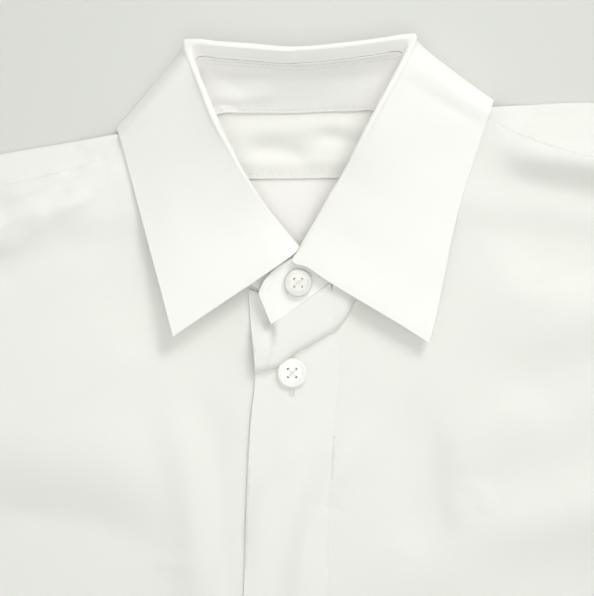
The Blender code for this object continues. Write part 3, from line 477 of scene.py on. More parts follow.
def sew_shell(name, top, low, faces, cut_places, seam_places, material, sharp=60):
    """Makes one piece of the shirt from its upper and lower skin."""
    count = len(top)
    directed = np.vstack([faces[:, [0, 1]], faces[:, [1, 2]], faces[:, [2, 0]]])
    code, back = directed[:, 0] * count + directed[:, 1], directed[:, 1] * count + directed[:, 0]
    rim = directed[~np.isin(code, back)]
    run = unit(top[rim[:, 1]] - top[rim[:, 0]])
    outward = np.cross(run, unit(top[rim[:, 0]] - low[rim[:, 0]]))
    push = np.zeros_like(top)
    np.add.at(push, rim[:, 0], outward)
    np.add.at(push, rim[:, 1], outward)
    members = np.unique(rim)
    middle = (top[members] + low[members]) / 2 + unit(push[members]) * RIM
    number = np.full(count, -1)
    number[members] = np.arange(len(members)) + 2 * count
    a, b = rim[:, 0], rim[:, 1]
    upper_half = np.column_stack([b, a, number[a], number[b]])
    lower_half = np.column_stack([number[b], number[a], a + count, b + count])
    walls = faces.tolist() + (faces[:, ::-1] + count).tolist()
    walls += upper_half.tolist() + lower_half.tolist()
    mesh = bpy.data.meshes.new(name)
    mesh.from_pydata((np.vstack([top, low, middle]) * MM).tolist(), [], walls)
    for label, places in (("cut", cut_places), ("seam", seam_places)):
        flat = np.column_stack([places, np.zeros(count)])
        values = np.vstack([flat, flat, flat[members]])
        mesh.attributes.new(label, "FLOAT_VECTOR", "POINT").data.foreach_set("vector", values.ravel())
    mesh.materials.append(material)
    mesh.shade_smooth()
    mesh.set_sharp_from_angle(angle=math.radians(sharp))
    shirt[name] = bpy.data.objects.new(name, mesh)
    scene.collection.objects.link(shirt[name])
    triangles = sum(len(polygon.vertices) - 2 for polygon in mesh.polygons)
    print(f"{name}: {triangles} triangles, cut {flat_sizes[name][0]:.0f} x {flat_sizes[name][1]:.0f} mm")


# %% Note a flat cut's size, and each point's way to the nearest seam


def note_cut(name, flat, faces):
    """Notes the width, length and area of a flat cut."""
    corners = flat[faces]
    one, two = corners[:, 1] - corners[:, 0], corners[:, 2] - corners[:, 0]
    area = np.abs(one[:, 0] * two[:, 1] - one[:, 1] * two[:, 0]).sum() / 2
    flat_sizes[name] = (*np.ptp(flat, axis=0), area)


def seam_at(flat, lines):
    """How far along and across the nearest sewn line each flat point lies."""
    if not lines:
        return np.column_stack([np.zeros(len(flat)), np.full(len(flat), SEAM_REACH)])
    along = [run_of(line) for line in lines]
    number, aside = nearest(flat, np.vstack(lines))
    return np.column_stack([np.concatenate(along)[number], np.minimum(aside, SEAM_REACH)])

# %% [markdown]
# ## How the cloth lies
# Nothing in the lie is random. Broad swells, where the cloth stands off the layer below, and folds, which
# are ridges or troughs from one place to another, stand in two tables. The heights of all of them add up,
# and they die out at the edges, at the shoulder folds and under the collar. A third table has the small
# creases that the solids leave out. Cloth simulation was set aside here: the shirt lies still, and a table
# of folds puts each one where the picture has it.

# %% The heights of the layers, and the sizes that the fronts share
FRONT_Z = 3.3
BACK_Z = WALL / 2
PLACKET_Z = FRONT_Z + 1.5
FOLD_RADIUS = (FRONT_Z - BACK_Z) / 2
COLLAR_RAISE = 2.0
PLACKET_WIDTH = 37.5
UNDERLAP = 33.0
LAP_LIFT = 1.2
SOFT = 0.9
HEM_FRONT = -645.0
HEM_BACK = -665.0
SEAM_GAP = 0.3
print("layers in mm, from the lowest:", BACK_Z, FRONT_Z, PLACKET_Z)

# %% The table of swells
# Swells: x and y of the middle, reach along and across, turn in degrees, height.
SWELLS = [
    (150, 74, 58, 17, -8, 6.5),
    (122, 6, 50, 26, 10, 4.5),
    (-120, 30, 40, 20, 25, 3.5),
    (-105, -34, 54, 28, 14, 4.0),
    (110, -60, 48, 20, 28, 4.0),
    (70, -128, 40, 26, -20, 3.5),
    (160, -190, 60, 30, 35, 5.0),
    (-165, -205, 60, 34, -30, 5.5),
    (-120, -270, 80, 38, 25, 6.0),
    (120, -290, 90, 36, -28, 6.0),
    (-140, -430, 80, 40, -15, 5.5),
    (140, -450, 90, 42, 18, 6.0),
    (-110, -560, 60, 30, 10, 4.0),
    (110, -570, 60, 30, -12, 4.0),
]

# %% The tables of folds and creases
# Folds and creases: x and y of both ends, sideways bow, half width, height.
FRONT_FOLDS = [
    (-58, -40, -44, -150, 5, 10, 4.0),
    (-40, -46, -28, -150, 4, 8, -3.0),
    (-28, -128, -38, -330, -6, 12, 4.5),
    (12, -54, -22, -126, -8, 6, 2.4),
    (34, -54, 0, -150, -10, 7, 3.4),
    (52, -45, 55, -118, 3, 11, -3.0),
    (60, -80, 112, -47, 4, 12, 2.4),
    (64, -94, 90, -88, -3, 9, 1.2),
    (92, -30, 200, 8, 6, 14, 3.0),
    (62, -112, 200, -92, 6, 17, 5.5),
    (80, 44, 185, 26, -3, 14, -7.0),
    (84, 24, 190, 4, -3, 12, -3.5),
    (80, 66, 190, 46, 3, 8, 6.0),
    (-86, 50, -128, 34, 3, 5, 1.6),
    (-98, 58, -120, 36, -3, 4, 1.4),
    (-118, 56, -150, 20, 4, 8, 3.4),
    (-88, 36, -150, 2, -4, 10, -2.6),
    (-175, -70, -45, -86, 8, 24, 6.0),
    (-175, -122, -56, -130, 8, 22, -6.0),
    (-225, -165, -120, -220, 10, 12, 5.0),
    (-235, -200, -90, -330, -14, 14, 5.5),
    (228, -150, 120, -210, -10, 12, 5.0),
    (236, -185, 80, -350, 14, 14, 5.5),
    (-60, -380, -200, -470, 10, 14, 5.0),
    (60, -390, 205, -500, -10, 14, 5.0),
    (-70, -500, -90, -620, 6, 12, 4.0),
    (75, -500, 100, -610, -6, 12, 4.0),
    (20, -200, 40, -330, 6, 9, 3.0),
    (-15, -260, 10, -400, -6, 9, 2.4),
]
CREASES = [
    (-80, 60, -92, 48, 1, 2.2, 0.9),
    (-88, 62, -104, 46, -2, 2.4, 1.1),
    (-97, 60, -112, 48, 1, 2.0, -0.9),
    (-104, 58, -134, 44, 2, 2.6, 1.3),
    (-110, 48, -138, 32, -2, 3.0, -1.2),
    (-84, 50, -112, 40, 2, 2.4, 0.8),
    (-112, 36, -136, 20, 2, 3.2, 0.9),
    (-120, 56, -137, 34, 3, 4.0, -0.9),
    (-90, 34, -138, 4, 4, 6.0, -0.6),
    (-70, -20, -120, -50, 4, 5, 0.5),
    (-60, -112, -132, -96, 5, 5, -0.7),
    (-40, -120, -120, -132, -4, 4, 0.6),
    (2, -92, 24, -98, 1, 2.4, -0.35),
    (70, -84, 88, -90, 2, 3.0, 0.35),
    (76, -96, 90, -100, 1, 3.0, -0.3),
    (64, -72, 106, -50, -3, 4.0, -0.4),
    (96, 30, 128, 24, 2, 3.0, 0.5),
    (100, 6, 132, 14, -3, 3.4, -0.5),
]


# %% Add up the heights of folds and of swells


def fold_height(x, y, folds, early=0.05):
    """Height of the folds at plan points. A fold starts and ends early, by a share of its length."""
    total = np.zeros_like(x)
    for x0, y0, x1, y1, bow, wide, high in folds:
        length = math.hypot(x1 - x0, y1 - y0)
        ux, uy = (x1 - x0) / length, (y1 - y0) / length
        along = ((x - x0) * ux + (y - y0) * uy) / length
        inside = np.clip(along, 0.0, 1.0)
        across = (y - y0) * ux - (x - x0) * uy - 4 * bow * inside * (1 - inside)
        ends = smooth(-early, 0.3, along) * (1 - smooth(0.7, 1 + early, along))
        total += high * ends * bell(across, wide)
    return total


def swell_height(x, y):
    total = np.zeros_like(x)
    for middle_x, middle_y, long, wide, degrees, high in SWELLS:
        turn = math.radians(degrees)
        along = (x - middle_x) * math.cos(turn) + (y - middle_y) * math.sin(turn)
        across = (y - middle_y) * math.cos(turn) - (x - middle_x) * math.sin(turn)
        total += high * np.exp(-((along / long) ** 2) - (across / wide) ** 2)
    return total


print("swells:", len(SWELLS), "folds:", len(FRONT_FOLDS), "creases:", len(CREASES))

# %% [markdown]
# The lines of the body come next: the shoulder folds, the seams where the yoke meets the fronts, the
# armholes and sides, and the band's edge. Left and right differ, because the shirt was laid down by hand.
# The yoke of a dress shirt runs over the shoulder, so its front seam lies 10 to 20 mm in front of the fold.

# %% The lines of the body
SHOULDER_RIGHT = [(-40, 83), (-80, 74), (-135, 64.5), (-180, 55.5), (-212, 48)]
SHOULDER_LEFT = [(40, 85), (88, 86), (135, 88), (180, 84), (215, 72)]
SEAM_RIGHT = [(-41, 72), (-82, 64), (-100, 58.5), (-135, 50), (-208, 33)]
SEAM_LEFT = [(41, 80), (86, 81), (94, 76.5), (103, 72), (124, 65), (135, 62.5), (211, 46)]
ARMHOLE_RIGHT = [(-212, 48), (-206, -10), (-209, -85), (-222, -130), (-247, -168)]
ARMHOLE_LEFT = [(215, 72), (208, 10), (211, -65), (223, -112), (248, -150)]
SIDE_RIGHT = [(-247, -168), (-241, -370), (-252, -588)]
SIDE_LEFT = [(248, -150), (240, -360), (249, -580)]
YOKE_SEAM = [(-206, 4), (-120, 41), (-50, 53), (0, 54.2), (50, 54.5), (120, 50), (207, 22)]
PLACKET_EDGE = [(-22, 4), (-21, -9), (-18.8, -33.6), (-20.7, -55), (-24, -135), (-45, HEM_FRONT)]
BULGE_FOOT = [
    (27, -1), (19.5, -13), (8, -20.5), (-1.4, -26), (-8.6, -31.4), (-19, -34),
]
BULGE_FLANK = [(-17.5, 6), (-13.4, -2), (-10.6, -8), (-9.9, -12), (-10.8, -21), (-14.5, -33)]

SHOULDERS = np.vstack([plan_curve(SHOULDER_RIGHT)[::-1], plan_curve(SHOULDER_LEFT)])
BACK_SEAM = plan_curve(YOKE_SEAM)
SIDES = np.vstack([plan_curve(line, 2) for line in (ARMHOLE_RIGHT, SIDE_RIGHT, ARMHOLE_LEFT, SIDE_LEFT)])
EDGE = plan_curve(PLACKET_EDGE)
FOOT = plan_curve(BULGE_FOOT)
FLANK = plan_curve(BULGE_FLANK)[::-1]
print("points on the shoulder folds, the sides and the band's edge:", len(SHOULDERS), len(SIDES), len(EDGE))

# %% The heights of the folds, and of the band's roll
BULGE_HIGH = 5.6
BULGE_ROLL = 3.6
BULGE_FULL = 9.0


def band_edge(y):
    """The x of the band's edge."""
    return np.interp(y, EDGE[::-1, 1], EDGE[::-1, 0])


def raised(x, y):
    """How much the leaf under the yoke and the lapped back seam lift the cloth above, from 0 to 1."""
    past_seam = y - curve_y(BACK_SEAM, x)
    seam = smooth(-26, -9, past_seam) * smooth(30, 14, past_seam)
    return np.maximum(seam, smooth(108, 92, np.abs(x)) * smooth(26, 50, y))


def crumple(x, y):
    """Height of the fronts' swells, folds and creases."""
    _, to_side = nearest(np.column_stack([x, y]), SIDES)
    edges = smooth(2, 30, to_side) * smooth(2, 34, y - HEM_FRONT)
    shoulder = smooth(1, 16, curve_y(SHOULDERS, x) - y)
    collar = smooth(78, 108, np.hypot(x, y - 45))
    past = x - band_edge(y)
    over_band = smooth(-16, -4, past) * smooth(PLACKET_WIDTH + 14, PLACKET_WIDTH + 2, past)
    lift = swell_height(x, y) + fold_height(x, y, FRONT_FOLDS)
    floor = -LAP_LIFT * (1 - over_band)
    lift = floor + SOFT * np.logaddexp(0, (lift - floor) / SOFT)
    small = fold_height(x, y, CREASES) * smooth(0, 1.5, lift + 1.5)
    return lift * edges * shoulder * collar + small * edges


def above_foot(x, y):
    """How far a place is above the foot of the band's roll."""
    return y - curve_y(FOOT, x)


def bulging(x, y):
    """Where the band's roll is, from 0 to 1: right of its flank, and below that up to the band's edge."""
    right_of_flank = smooth(-2.4, 0.4, x - np.interp(y, FLANK[:, 1], FLANK[:, 0]))
    return np.maximum(right_of_flank, 0.9 * smooth(-9, -24, y)) * smooth(36, 20, x)


def bulge(x, y):
    """The steep roll of the band between the stand's seam and the second button."""
    above = above_foot(x, y)
    roll = np.sqrt(1 - (1 - np.clip(above / BULGE_ROLL, 0.0, 1.0)) ** 2)
    rise = 1 - (1 - np.clip(above / BULGE_FULL, 0.0, 1.0)) ** 2
    return BULGE_HIGH * (0.75 * roll + 0.25 * rise) * bulging(x, y)


# %% The heights of the two fronts


def under_z(x, y):
    """The common level of the fronts, lifted over the leaf and the back seam."""
    return FRONT_Z + COLLAR_RAISE * raised(x, y) * smooth(34, 46, np.abs(x))


def under_front_z(x, y):
    """The under front, pressed flatter where the band lies on it."""
    covered = smooth(-14, 1, x - band_edge(y))
    return under_z(x, y) + crumple(x, y) * (1 - covered)


def upper_z(x, y):
    """The upper front and its band, which step down to the common level away from the band."""
    step = (PLACKET_Z - FRONT_Z) * (1 - smooth(2, 34, x - band_edge(y) - PLACKET_WIDTH))
    return under_z(x, y) + step + crumple(x, y) + bulge(x, y)


probe = np.array([0.0, 60.0, 150.0])
print("upper front in mm at x 0, 60 and 150:", upper_z(probe, np.full(3, -60.0)).round(1))

# %% [markdown]
# ## The back
# The back is the largest and plainest piece: one layer that lies on the surface. Only a small triangle of
# it shows, inside the neck below the yoke, so it is cut with wide points except there. Its lower hem is
# curved as a shirt tail is, and it ripples a little where the stitched hem is stiffer than the cloth.

# %% Lay a cut piece, and keep its rows of stitches
HEM_TURN = 6
ARMHOLE_TURN = 8
stitch_rows = []


def armhole_from(places, start_y):
    """The part of an armhole that lies below a place."""
    curve = plan_curve(places)
    return curve[curve[:, 1] <= start_y]


def lay(name, flat, faces, height, lines, material):
    """Lays a flat cut: its middle is at the height that the function gives for each plan point."""
    note_cut(name, flat, faces)
    middle = np.column_stack([flat, height(flat[:, 0], flat[:, 1])])
    half = np.array([0, 0, WALL / 2])
    sew_shell(name, middle + half, middle - half, faces, flat, seam_at(flat, lines), material)


def stitch_on(line, height):
    """Keeps a row of stitches that lies on the upper skin along a plan line."""
    top = height(line[:, 0], line[:, 1]) + WALL / 2
    stitch_rows.append(np.column_stack([line, top]))


# %% Cut and lay the back
BACK_RIPPLE = 0.9


def back_pitch(x, y):
    """How far apart the back's points are: close together only where the picture shows the back."""
    return np.where((np.abs(x) < 44) & (y > -12), 1.5, 8.0)


def back_z(x, y):
    ripple = np.sin(x * 0.11) * np.sin(x * 0.043 + 1.0) * smooth(-560, HEM_BACK, y)
    return BACK_Z + BACK_RIPPLE * np.clip(ripple, 0, 1)


HEM_OF_BACK = [
    (-252, -588), (-232, -632), (-150, -658), (0, HEM_BACK), (150, -656),
    (229, -626), (249, -580),
]
YOKE_TUCK = 6.0
tucked = BACK_SEAM + np.array([0, YOKE_TUCK])
hem = plan_curve(HEM_OF_BACK)
sides = [
    tucked[::-1], armhole_from(ARMHOLE_RIGHT, tucked[0, 1] - 2), plan_curve(SIDE_RIGHT), hem,
    plan_curve(SIDE_LEFT)[::-1], armhole_from(ARMHOLE_LEFT, tucked[-1, 1] - 2)[::-1],
]
flat, faces = cut(sides, back_pitch)
hem_line = beside(hem, HEM_TURN)
# The back takes the whiter cotton, as painted light for the bright back inside the neck.
lay("back_cloth", flat, faces, back_z, [hem_line], lit_back_cotton)
stitch_on(hem_line, back_z)

# %% [markdown]
# ## The yoke
# The yoke is one piece that runs from the back seam up over both shoulders to the two forward seams, so it
# is cut unrolled and then rolled over the shoulder folds: below the fold it lies near the surface, across
# half a turn it comes round, and past it it lies on top. Inside the neck it shows as the strip between the
# collar and the back, with one row of stitches just above the back seam.

# %% Roll a flat yoke over the shoulder folds
YOKE_FOLDS = [(-26, 66, 8, 62, 2, 4.5, -1.7), (6, 75, 32, 67, 2, 4.0, -1.7), (-34, 74, 30, 78, 1, 5, 1.6)]
YOKE_CREASES = [(-22, 69, 2, 66, 1, 4, -0.5), (8, 74, 30, 62, 2, 4, -0.6), (-30, 60, 30, 61, 1, 3, 0.4)]
HALF_TURN = math.pi * FOLD_RADIUS
NECK_HALF = 41
SEAM_DIP = 0.8


def crest(x):
    """The y at which the yoke starts to turn over the shoulder."""
    return curve_y(SHOULDERS, x) - FOLD_RADIUS


def unrolled(line):
    """A line of the upper side, on the yoke's flat cut."""
    return np.column_stack([line[:, 0], 2 * crest(line[:, 0]) - line[:, 1] + HALF_TURN])


def rolled(flat):
    """The yoke's middle where it lies, for points of its unrolled cut. Inside the neck it doesn't turn."""
    x, q = flat[:, 0], flat[:, 1]
    top = np.where(np.abs(x) > NECK_HALF - 0.5, crest(x), 1e3)
    angle = np.clip((q - top) / FOLD_RADIUS, 0, math.pi)
    y = np.minimum(q, top) + FOLD_RADIUS * np.sin(angle) - np.maximum(q - top - HALF_TURN, 0)
    small = fold_height(x, y, YOKE_CREASES) * smooth(44, 36, np.abs(x))
    lower = BACK_Z + COLLAR_RAISE * raised(x, y) + fold_height(x, y, YOKE_FOLDS) + small
    lower -= SEAM_DIP * smooth(9, 1, y - curve_y(BACK_SEAM, x))
    upper = np.where(x < 0, under_front_z(x, y), upper_z(x, y))
    return np.column_stack([x, y, lower + (upper - lower) * (1 - np.cos(angle)) / 2])


# %% Cut the yoke unrolled
SHOULDER_GUIDES = 7


def yoke_pitch(x, q):
    near = np.abs(x) < 150
    inside_neck = (np.abs(x) < 48) & (q < 92)
    return np.where(inside_neck | (near & (q > crest(x) - 1)), 1.5, 4.0)


right_seam, left_seam = unrolled(plan_curve(SEAM_RIGHT)), unrolled(plan_curve(SEAM_LEFT))
low_right, low_left = ((x, crest(x)) for x in (-NECK_HALF, NECK_HALF))
high_right, high_left = ((x, y + HALF_TURN) for x, y in (low_right, low_left))
neck_places = [
    [left_seam[0], high_left],
    [high_left, low_left],
    [low_left, (38.6, 84.8), (34, 86.0)],
    [(34, 86.0), (20, 85.7), (0, 85.1), (-20, 85.1), (-36, 84.8)],
    [(-36, 84.8), (-39.4, 83.0), low_right],
    [low_right, high_right],
    [high_right, right_seam[0]],
]
sides = [
    BACK_SEAM, plan_curve([BACK_SEAM[-1], left_seam[-1]]), left_seam[::-1],
    *[plan_curve(places) for places in neck_places],
    right_seam, plan_curve([right_seam[-1], BACK_SEAM[0]]),
]
guides = []
for places in (SHOULDER_RIGHT, SHOULDER_LEFT):
    line = plan_curve(places)
    line = line[(np.abs(line[:, 0]) > 44) & (np.abs(line[:, 0]) < 203)]
    for part in np.linspace(0, 1, SHOULDER_GUIDES):
        guides.append(line + np.array([0, HALF_TURN * part - FOLD_RADIUS]))
over_back = BACK_SEAM + np.array([0, 2.0])
guides.append(over_back[np.abs(over_back[:, 0]) < 200])
flat, faces = cut(sides, yoke_pitch, guides)
note_cut("yoke_cloth", flat, faces)
print("triangles of the yoke's cut:", len(faces))

# %% Sew the yoke in its rolled place


def skin_normals(points, faces):
    corners = points[faces]
    flat_normals = np.cross(corners[:, 1] - corners[:, 0], corners[:, 2] - corners[:, 0])
    total = np.zeros_like(points)
    for corner in range(3):
        np.add.at(total, faces[:, corner], flat_normals)
    return unit(total)


middle = rolled(flat)
half = skin_normals(middle, faces) * WALL / 2
lines = [over_back, right_seam, left_seam]
sew_shell("yoke_cloth", middle + half, middle - half, faces, flat, seam_at(flat, lines), body_cotton)
stitched = rolled(over_back[np.abs(over_back[:, 0]) < 200])
stitch_rows.append(stitched + np.array([0, 0, WALL / 2]))

# %% [markdown]
# ## The fronts and the band
# The right front lies underneath and the left one on top, as on a man's shirt. The band for the buttonholes
# is a piece of its own, sewn to the upper front. Below the collar it has bunched up into a steep roll, and
# the crease at its foot is the darkest of the whole picture. The lines of the bulge's foot and flank,
# above, say where that roll comes down on the cloth below. The neckline follows the seam of the collar, so
# the table of the collar's cross-sections comes first.

# %% The collar's cross-sections, and the neckline along their seams
# Columns: x, y and z of the stand's seam, of the roll and of the leaf's edge, then turn, fall and settle.
COLLAR = [
    (-9.0, -0.5, 4.9, 1.0, 22.6, 10.4, -55.2, -17.1, 12.0, 3.0, -1.0, 0.3),
    (-24.0, 9.0, 5.2, -12.3, 38.5, 13.0, -60.6, 2.5, 11.0, 3.0, 0.0, 0.3),
    (-34.0, 29.0, 5.4, -23.1, 54.5, 19.0, -66.2, 23.0, 9.6, 3.0, 0.0, 0.3),
    (-38.6, 51.0, 5.4, -30.8, 68.5, 24.0, -71.2, 41.5, 8.4, 3.5, 0.0, 0.3),
    (-39.0, 69.0, 4.6, -37.0, 80.0, 26.5, -75.3, 57.0, 7.6, 4.0, 0.0, 0.3),
    (-38.2, 79.5, 3.9, -43.3, 96.0, 26.0, -78.3, 68.0, 7.4, 5.0, 0.0, 0.3),
    (-37.0, 82.6, 4.0, -48.8, 110.2, 24.6, -80.2, 74.2, 6.6, 6.0, 1.0, 0.25),
    (-35.8, 83.3, 4.1, -49.6, 113.4, 24.2, -81.2, 76.6, 3.9, 6.0, 6.0, 0.12),
    (-34.0, 83.8, 4.2, -46.0, 113.6, 24.5, -79.0, 77.3, 0.6, 6.0, 16.0, 0.0),
    (-26.0, 84.0, 4.2, -35.0, 112.4, 25.5, -60.0, 72.5, 0.6, 6.0, 18.0, 0.0),
    (-15.0, 84.0, 4.2, -21.0, 111.4, 26.0, -35.0, 70.5, 0.6, 6.0, 18.0, 0.0),
    (-1.0, 84.0, 4.2, -2.0, 109.8, 27.0, 0.0, 70.0, 0.6, 6.0, 18.0, 0.0),
    (14.0, 84.6, 4.2, 22.0, 111.8, 26.5, 36.0, 72.0, 0.6, 6.0, 18.0, 0.0),
    (26.0, 85.0, 4.2, 38.0, 114.0, 25.5, 62.0, 76.0, 0.6, 6.0, 18.0, 0.0),
    (33.0, 85.2, 4.2, 48.0, 115.6, 24.6, 86.0, 88.3, 0.6, 6.0, 16.0, 0.0),
    (34.8, 84.8, 4.1, 52.2, 115.8, 24.2, 88.6, 89.2, 3.9, 6.0, 6.0, 0.12),
    (36.0, 84.0, 4.0, 51.0, 112.2, 24.6, 87.6, 86.3, 7.0, 6.0, 1.0, 0.25),
    (37.6, 80.5, 3.9, 43.5, 97.5, 26.0, 84.0, 76.0, 7.8, 5.0, 0.0, 0.3),
    (38.6, 70.0, 4.8, 33.0, 78.5, 26.5, 79.5, 62.0, 7.3, 4.0, 0.0, 0.3),
    (38.8, 52.0, 6.0, 26.5, 66.5, 24.0, 74.4, 46.0, 7.1, 3.5, 0.0, 0.3),
    (35.5, 31.0, 7.2, 19.3, 53.0, 19.0, 69.2, 25.0, 7.2, 3.0, 0.0, 0.3),
    (31.0, 21.5, 7.8, 14.0, 44.5, 17.2, 66.5, 11.5, 7.5, 3.0, 0.0, 0.3),
    (25.5, 14.5, 8.4, 9.6, 36.5, 15.2, 64.0, -1.0, 7.8, 3.0, 0.0, 0.3),
    (19.0, 9.5, 8.8, 5.2, 29.0, 14.0, 61.7, -11.2, 8.3, 3.0, -0.5, 0.3),
    (12.7, 5.2, 9.2, 1.2, 21.8, 13.0, 59.2, -20.3, 8.8, 3.0, -1.0, 0.3),
]
# The leaf leads sideways from its roll, in x and y, at the last four sections only.
LEADS = [(-2, 0), (-4, -1), (-7, -2), (-10, -3)]
NECK_GAP = 0.3


def neckline(first, last):
    """The body's neck edge beside the stand's lower edge, from one section of the collar to another."""
    return beside(plan_curve(np.array(COLLAR)[first : last + 1, :2]), NECK_GAP)


# %% Cut and lay the under front
BAND_AT_HEM = -56


def front_pitch(x, y):
    above = above_foot(x, y)
    foot = (above > -3) & (above < 9) & (x > -20) & (x < 30)
    return np.where(foot, 0.7, np.where((np.abs(x) < 142) & (y > -142), 1.5, 4.0))


def front_sides(arm, side, hem, forward):
    """The edges that both fronts have, from the forward seam's neck end down to the hem."""
    seam = plan_curve(forward)
    return [seam, armhole_from(arm, seam[-1, 1] - 2), plan_curve(side), plan_curve(hem)]


hem_right = [(-252, -588), (-230, -620), (-150, -638), (-12, HEM_FRONT)]
free = EDGE[EDGE[:, 1] < 2] + np.array([UNDERLAP, 0])
neck = neckline(0, 4)[::-1]
neck = neck[neck[:, 1] < SEAM_RIGHT[0][1] - 1]
top = plan_curve([neck[-1], (2, -5.2), free[0]])
shared = front_sides(ARMHOLE_RIGHT, SIDE_RIGHT, hem_right, SEAM_RIGHT)
flat, faces = cut([*shared, free[::-1], top[::-1], neck[::-1]], front_pitch)
hem_line, arm_line = beside(shared[3], HEM_TURN), beside(shared[1], ARMHOLE_TURN)
lay("front_right_cloth", flat, faces, under_front_z, [shared[0], hem_line, arm_line], body_cotton)
stitch_on(hem_line[hem_line[:, 0] < BAND_AT_HEM], under_front_z)
stitch_on(arm_line, under_front_z)

# %% Cut and lay the upper front
hem_left = [
    (249, -580), (227, -614), (150, -636), (-45 + PLACKET_WIDTH + SEAM_GAP, HEM_FRONT),
]
neck = neckline(18, len(COLLAR) - 1)
neck = neck[neck[:, 1] < SEAM_LEFT[0][1] - 1]
joint = spaced(EDGE[EDGE[:, 1] < 3] + np.array([PLACKET_WIDTH, 0]), front_pitch)
neck = neck[neck[:, 0] > joint[0, 0] + 0.5]
shared = front_sides(ARMHOLE_LEFT, SIDE_LEFT, hem_left, SEAM_LEFT)
foot_line = FOOT[::-1]
flat, faces = cut([*shared, joint[::-1], neck[::-1]], front_pitch, [foot_line[foot_line[:, 0] > 20]])
hem_line, arm_line = beside(shared[3], -HEM_TURN), beside(shared[1], -ARMHOLE_TURN)
lay("front_left_cloth", flat, faces, upper_z, [shared[0], joint, hem_line, arm_line], body_cotton)
stitch_on(hem_line, upper_z)
stitch_on(arm_line, upper_z)

# %% Cut and lay the band
PLACKET_CORNER = [(-22, 4), (-16, 1.5), (-12.8, -7), (-12.3, -12.1)]
PLACKET_TOP = [(-11.6, -13.2), (-4.3, -8.6), (4.7, -2.3), (13.4, 3.9), (18.4, 7.3)]
top = beside(plan_curve(PLACKET_TOP), 1.3)
top = top[top[:, 0] < joint[0, 0] - 0.3]
sides = [plan_curve(PLACKET_CORNER), top, joint, plan_curve([joint[-1], EDGE[-1]]), EDGE[::-1]]
within = (foot_line[:, 0] > -17) & (foot_line[:, 0] < 15)
flat, faces = cut(sides, front_pitch, [foot_line[within]])
lay("placket_cloth", flat, faces, upper_z, [joint, top], band_cotton)
print("rows of stitches so far:", len(stitch_rows))

# %% [markdown]
# ## The collar
# A shirt collar is two pieces: the stand, a band that is sewn round the neck and buttons in front, and the
# leaf, which turns over the stand and falls to its points. Both are lofted through the same cross-sections.
# Each section says where the stand's lower edge, the roll line and the leaf's edge are. Across the back the
# leaf is folded in under the yoke, because the shirt was pressed flat on it. A loft suits this better than
# simulation, as the turned edge and both points have to end up exactly where the picture has them.

# %% Read the collar's sections close together
LEAF_ROLL = 0.9
CORNER_EASE = 7.0
COLLAR_STEP = 1.6

leads = np.zeros((len(COLLAR), 2))
leads[-len(LEADS):] = LEADS
table_rows = np.hstack([COLLAR, leads])
knots = run_of(table_rows[:, :6])
places = np.linspace(0, knots[-1], round(knots[-1] / COLLAR_STEP))
rows = through(table_rows, knots, places)
seam, roll, edge = rows[:, 0:3], rows[:, 3:6], rows[:, 6:9]
turn, fall, settle, lead = rows[:, 9:10], rows[:, 10:11], rows[:, 11:12], rows[:, 12:14]


def eased(values, reach):
    """Values along the roll, averaged over a reach."""
    between = np.abs(run_of(roll)[:, None] - run_of(roll)[None, :])
    share = bell(between, reach)
    return (share / share.sum(axis=1)[:, None]) @ values


down = unit(seam - roll)
out = unit(eased(unit(np.cross(np.gradient(roll, axis=0), down)), 4.0))
centre = roll + down * LEAF_ROLL
inner_down, inner_out = unit(eased(down, CORNER_EASE)), unit(eased(out, CORNER_EASE))
inner_line = eased(centre - out * LEAF_ROLL, CORNER_EASE)
print("sections of the collar:", len(rows))

# %% Triangles, directions and flat cut of a grid of points


def grid_faces(grid, ring=False):
    """Two triangles for each cell of a grid, split along its shorter diagonal."""
    rows, columns, _ = grid.shape
    number = np.arange(rows * columns).reshape(rows, columns)
    after = np.roll(number, -1, axis=1) if ring else number[:, 1:]
    first = number if ring else number[:, :-1]
    a, b, c, d = first[:-1].ravel(), after[:-1].ravel(), after[1:].ravel(), first[1:].ravel()
    points = grid.reshape(-1, 3)
    first_way, other_way = (np.linalg.norm(points[m] - points[n], axis=1) for m, n in ((a, c), (b, d)))
    shorter = (first_way <= other_way)[:, None]
    one = np.where(shorter, np.column_stack([a, b, c]), np.column_stack([a, b, d]))
    two = np.where(shorter, np.column_stack([a, c, d]), np.column_stack([b, c, d]))
    return np.vstack([one, two])


def grid_normals(grid, ring=False):
    if ring:
        along = (np.roll(grid, -1, axis=1) - np.roll(grid, 1, axis=1)) / 2
    else:
        along = np.gradient(grid, axis=1)
    return unit(np.cross(along, np.gradient(grid, axis=0)))


def grid_cut(grid):
    """The flat cut of a grid: lengths along its middle column and across each row."""
    across = np.linalg.norm(np.diff(grid, axis=1), axis=2)
    across = np.column_stack([np.zeros(len(grid)), np.cumsum(across, axis=1)])
    along = run_of(grid[:, grid.shape[1] // 2])
    return np.repeat(along[:, None], grid.shape[1], axis=1), across


def note_grid(name, grid, ring=False):
    """Notes the longest way across and along a grid, and its area."""
    closed = np.concatenate([grid, grid[:, :1]], axis=1) if ring else grid
    along, across = np.diff(closed, axis=0), np.diff(closed, axis=1)
    area = np.linalg.norm(np.cross(along[:, :-1], across[:-1]), axis=2).sum()
    across, along = np.linalg.norm(across, axis=2), np.linalg.norm(along, axis=2)
    flat_sizes[name] = (across.sum(axis=1).max(), along.sum(axis=0).max(), area)


# %% Loft a wall through a grid of middle points


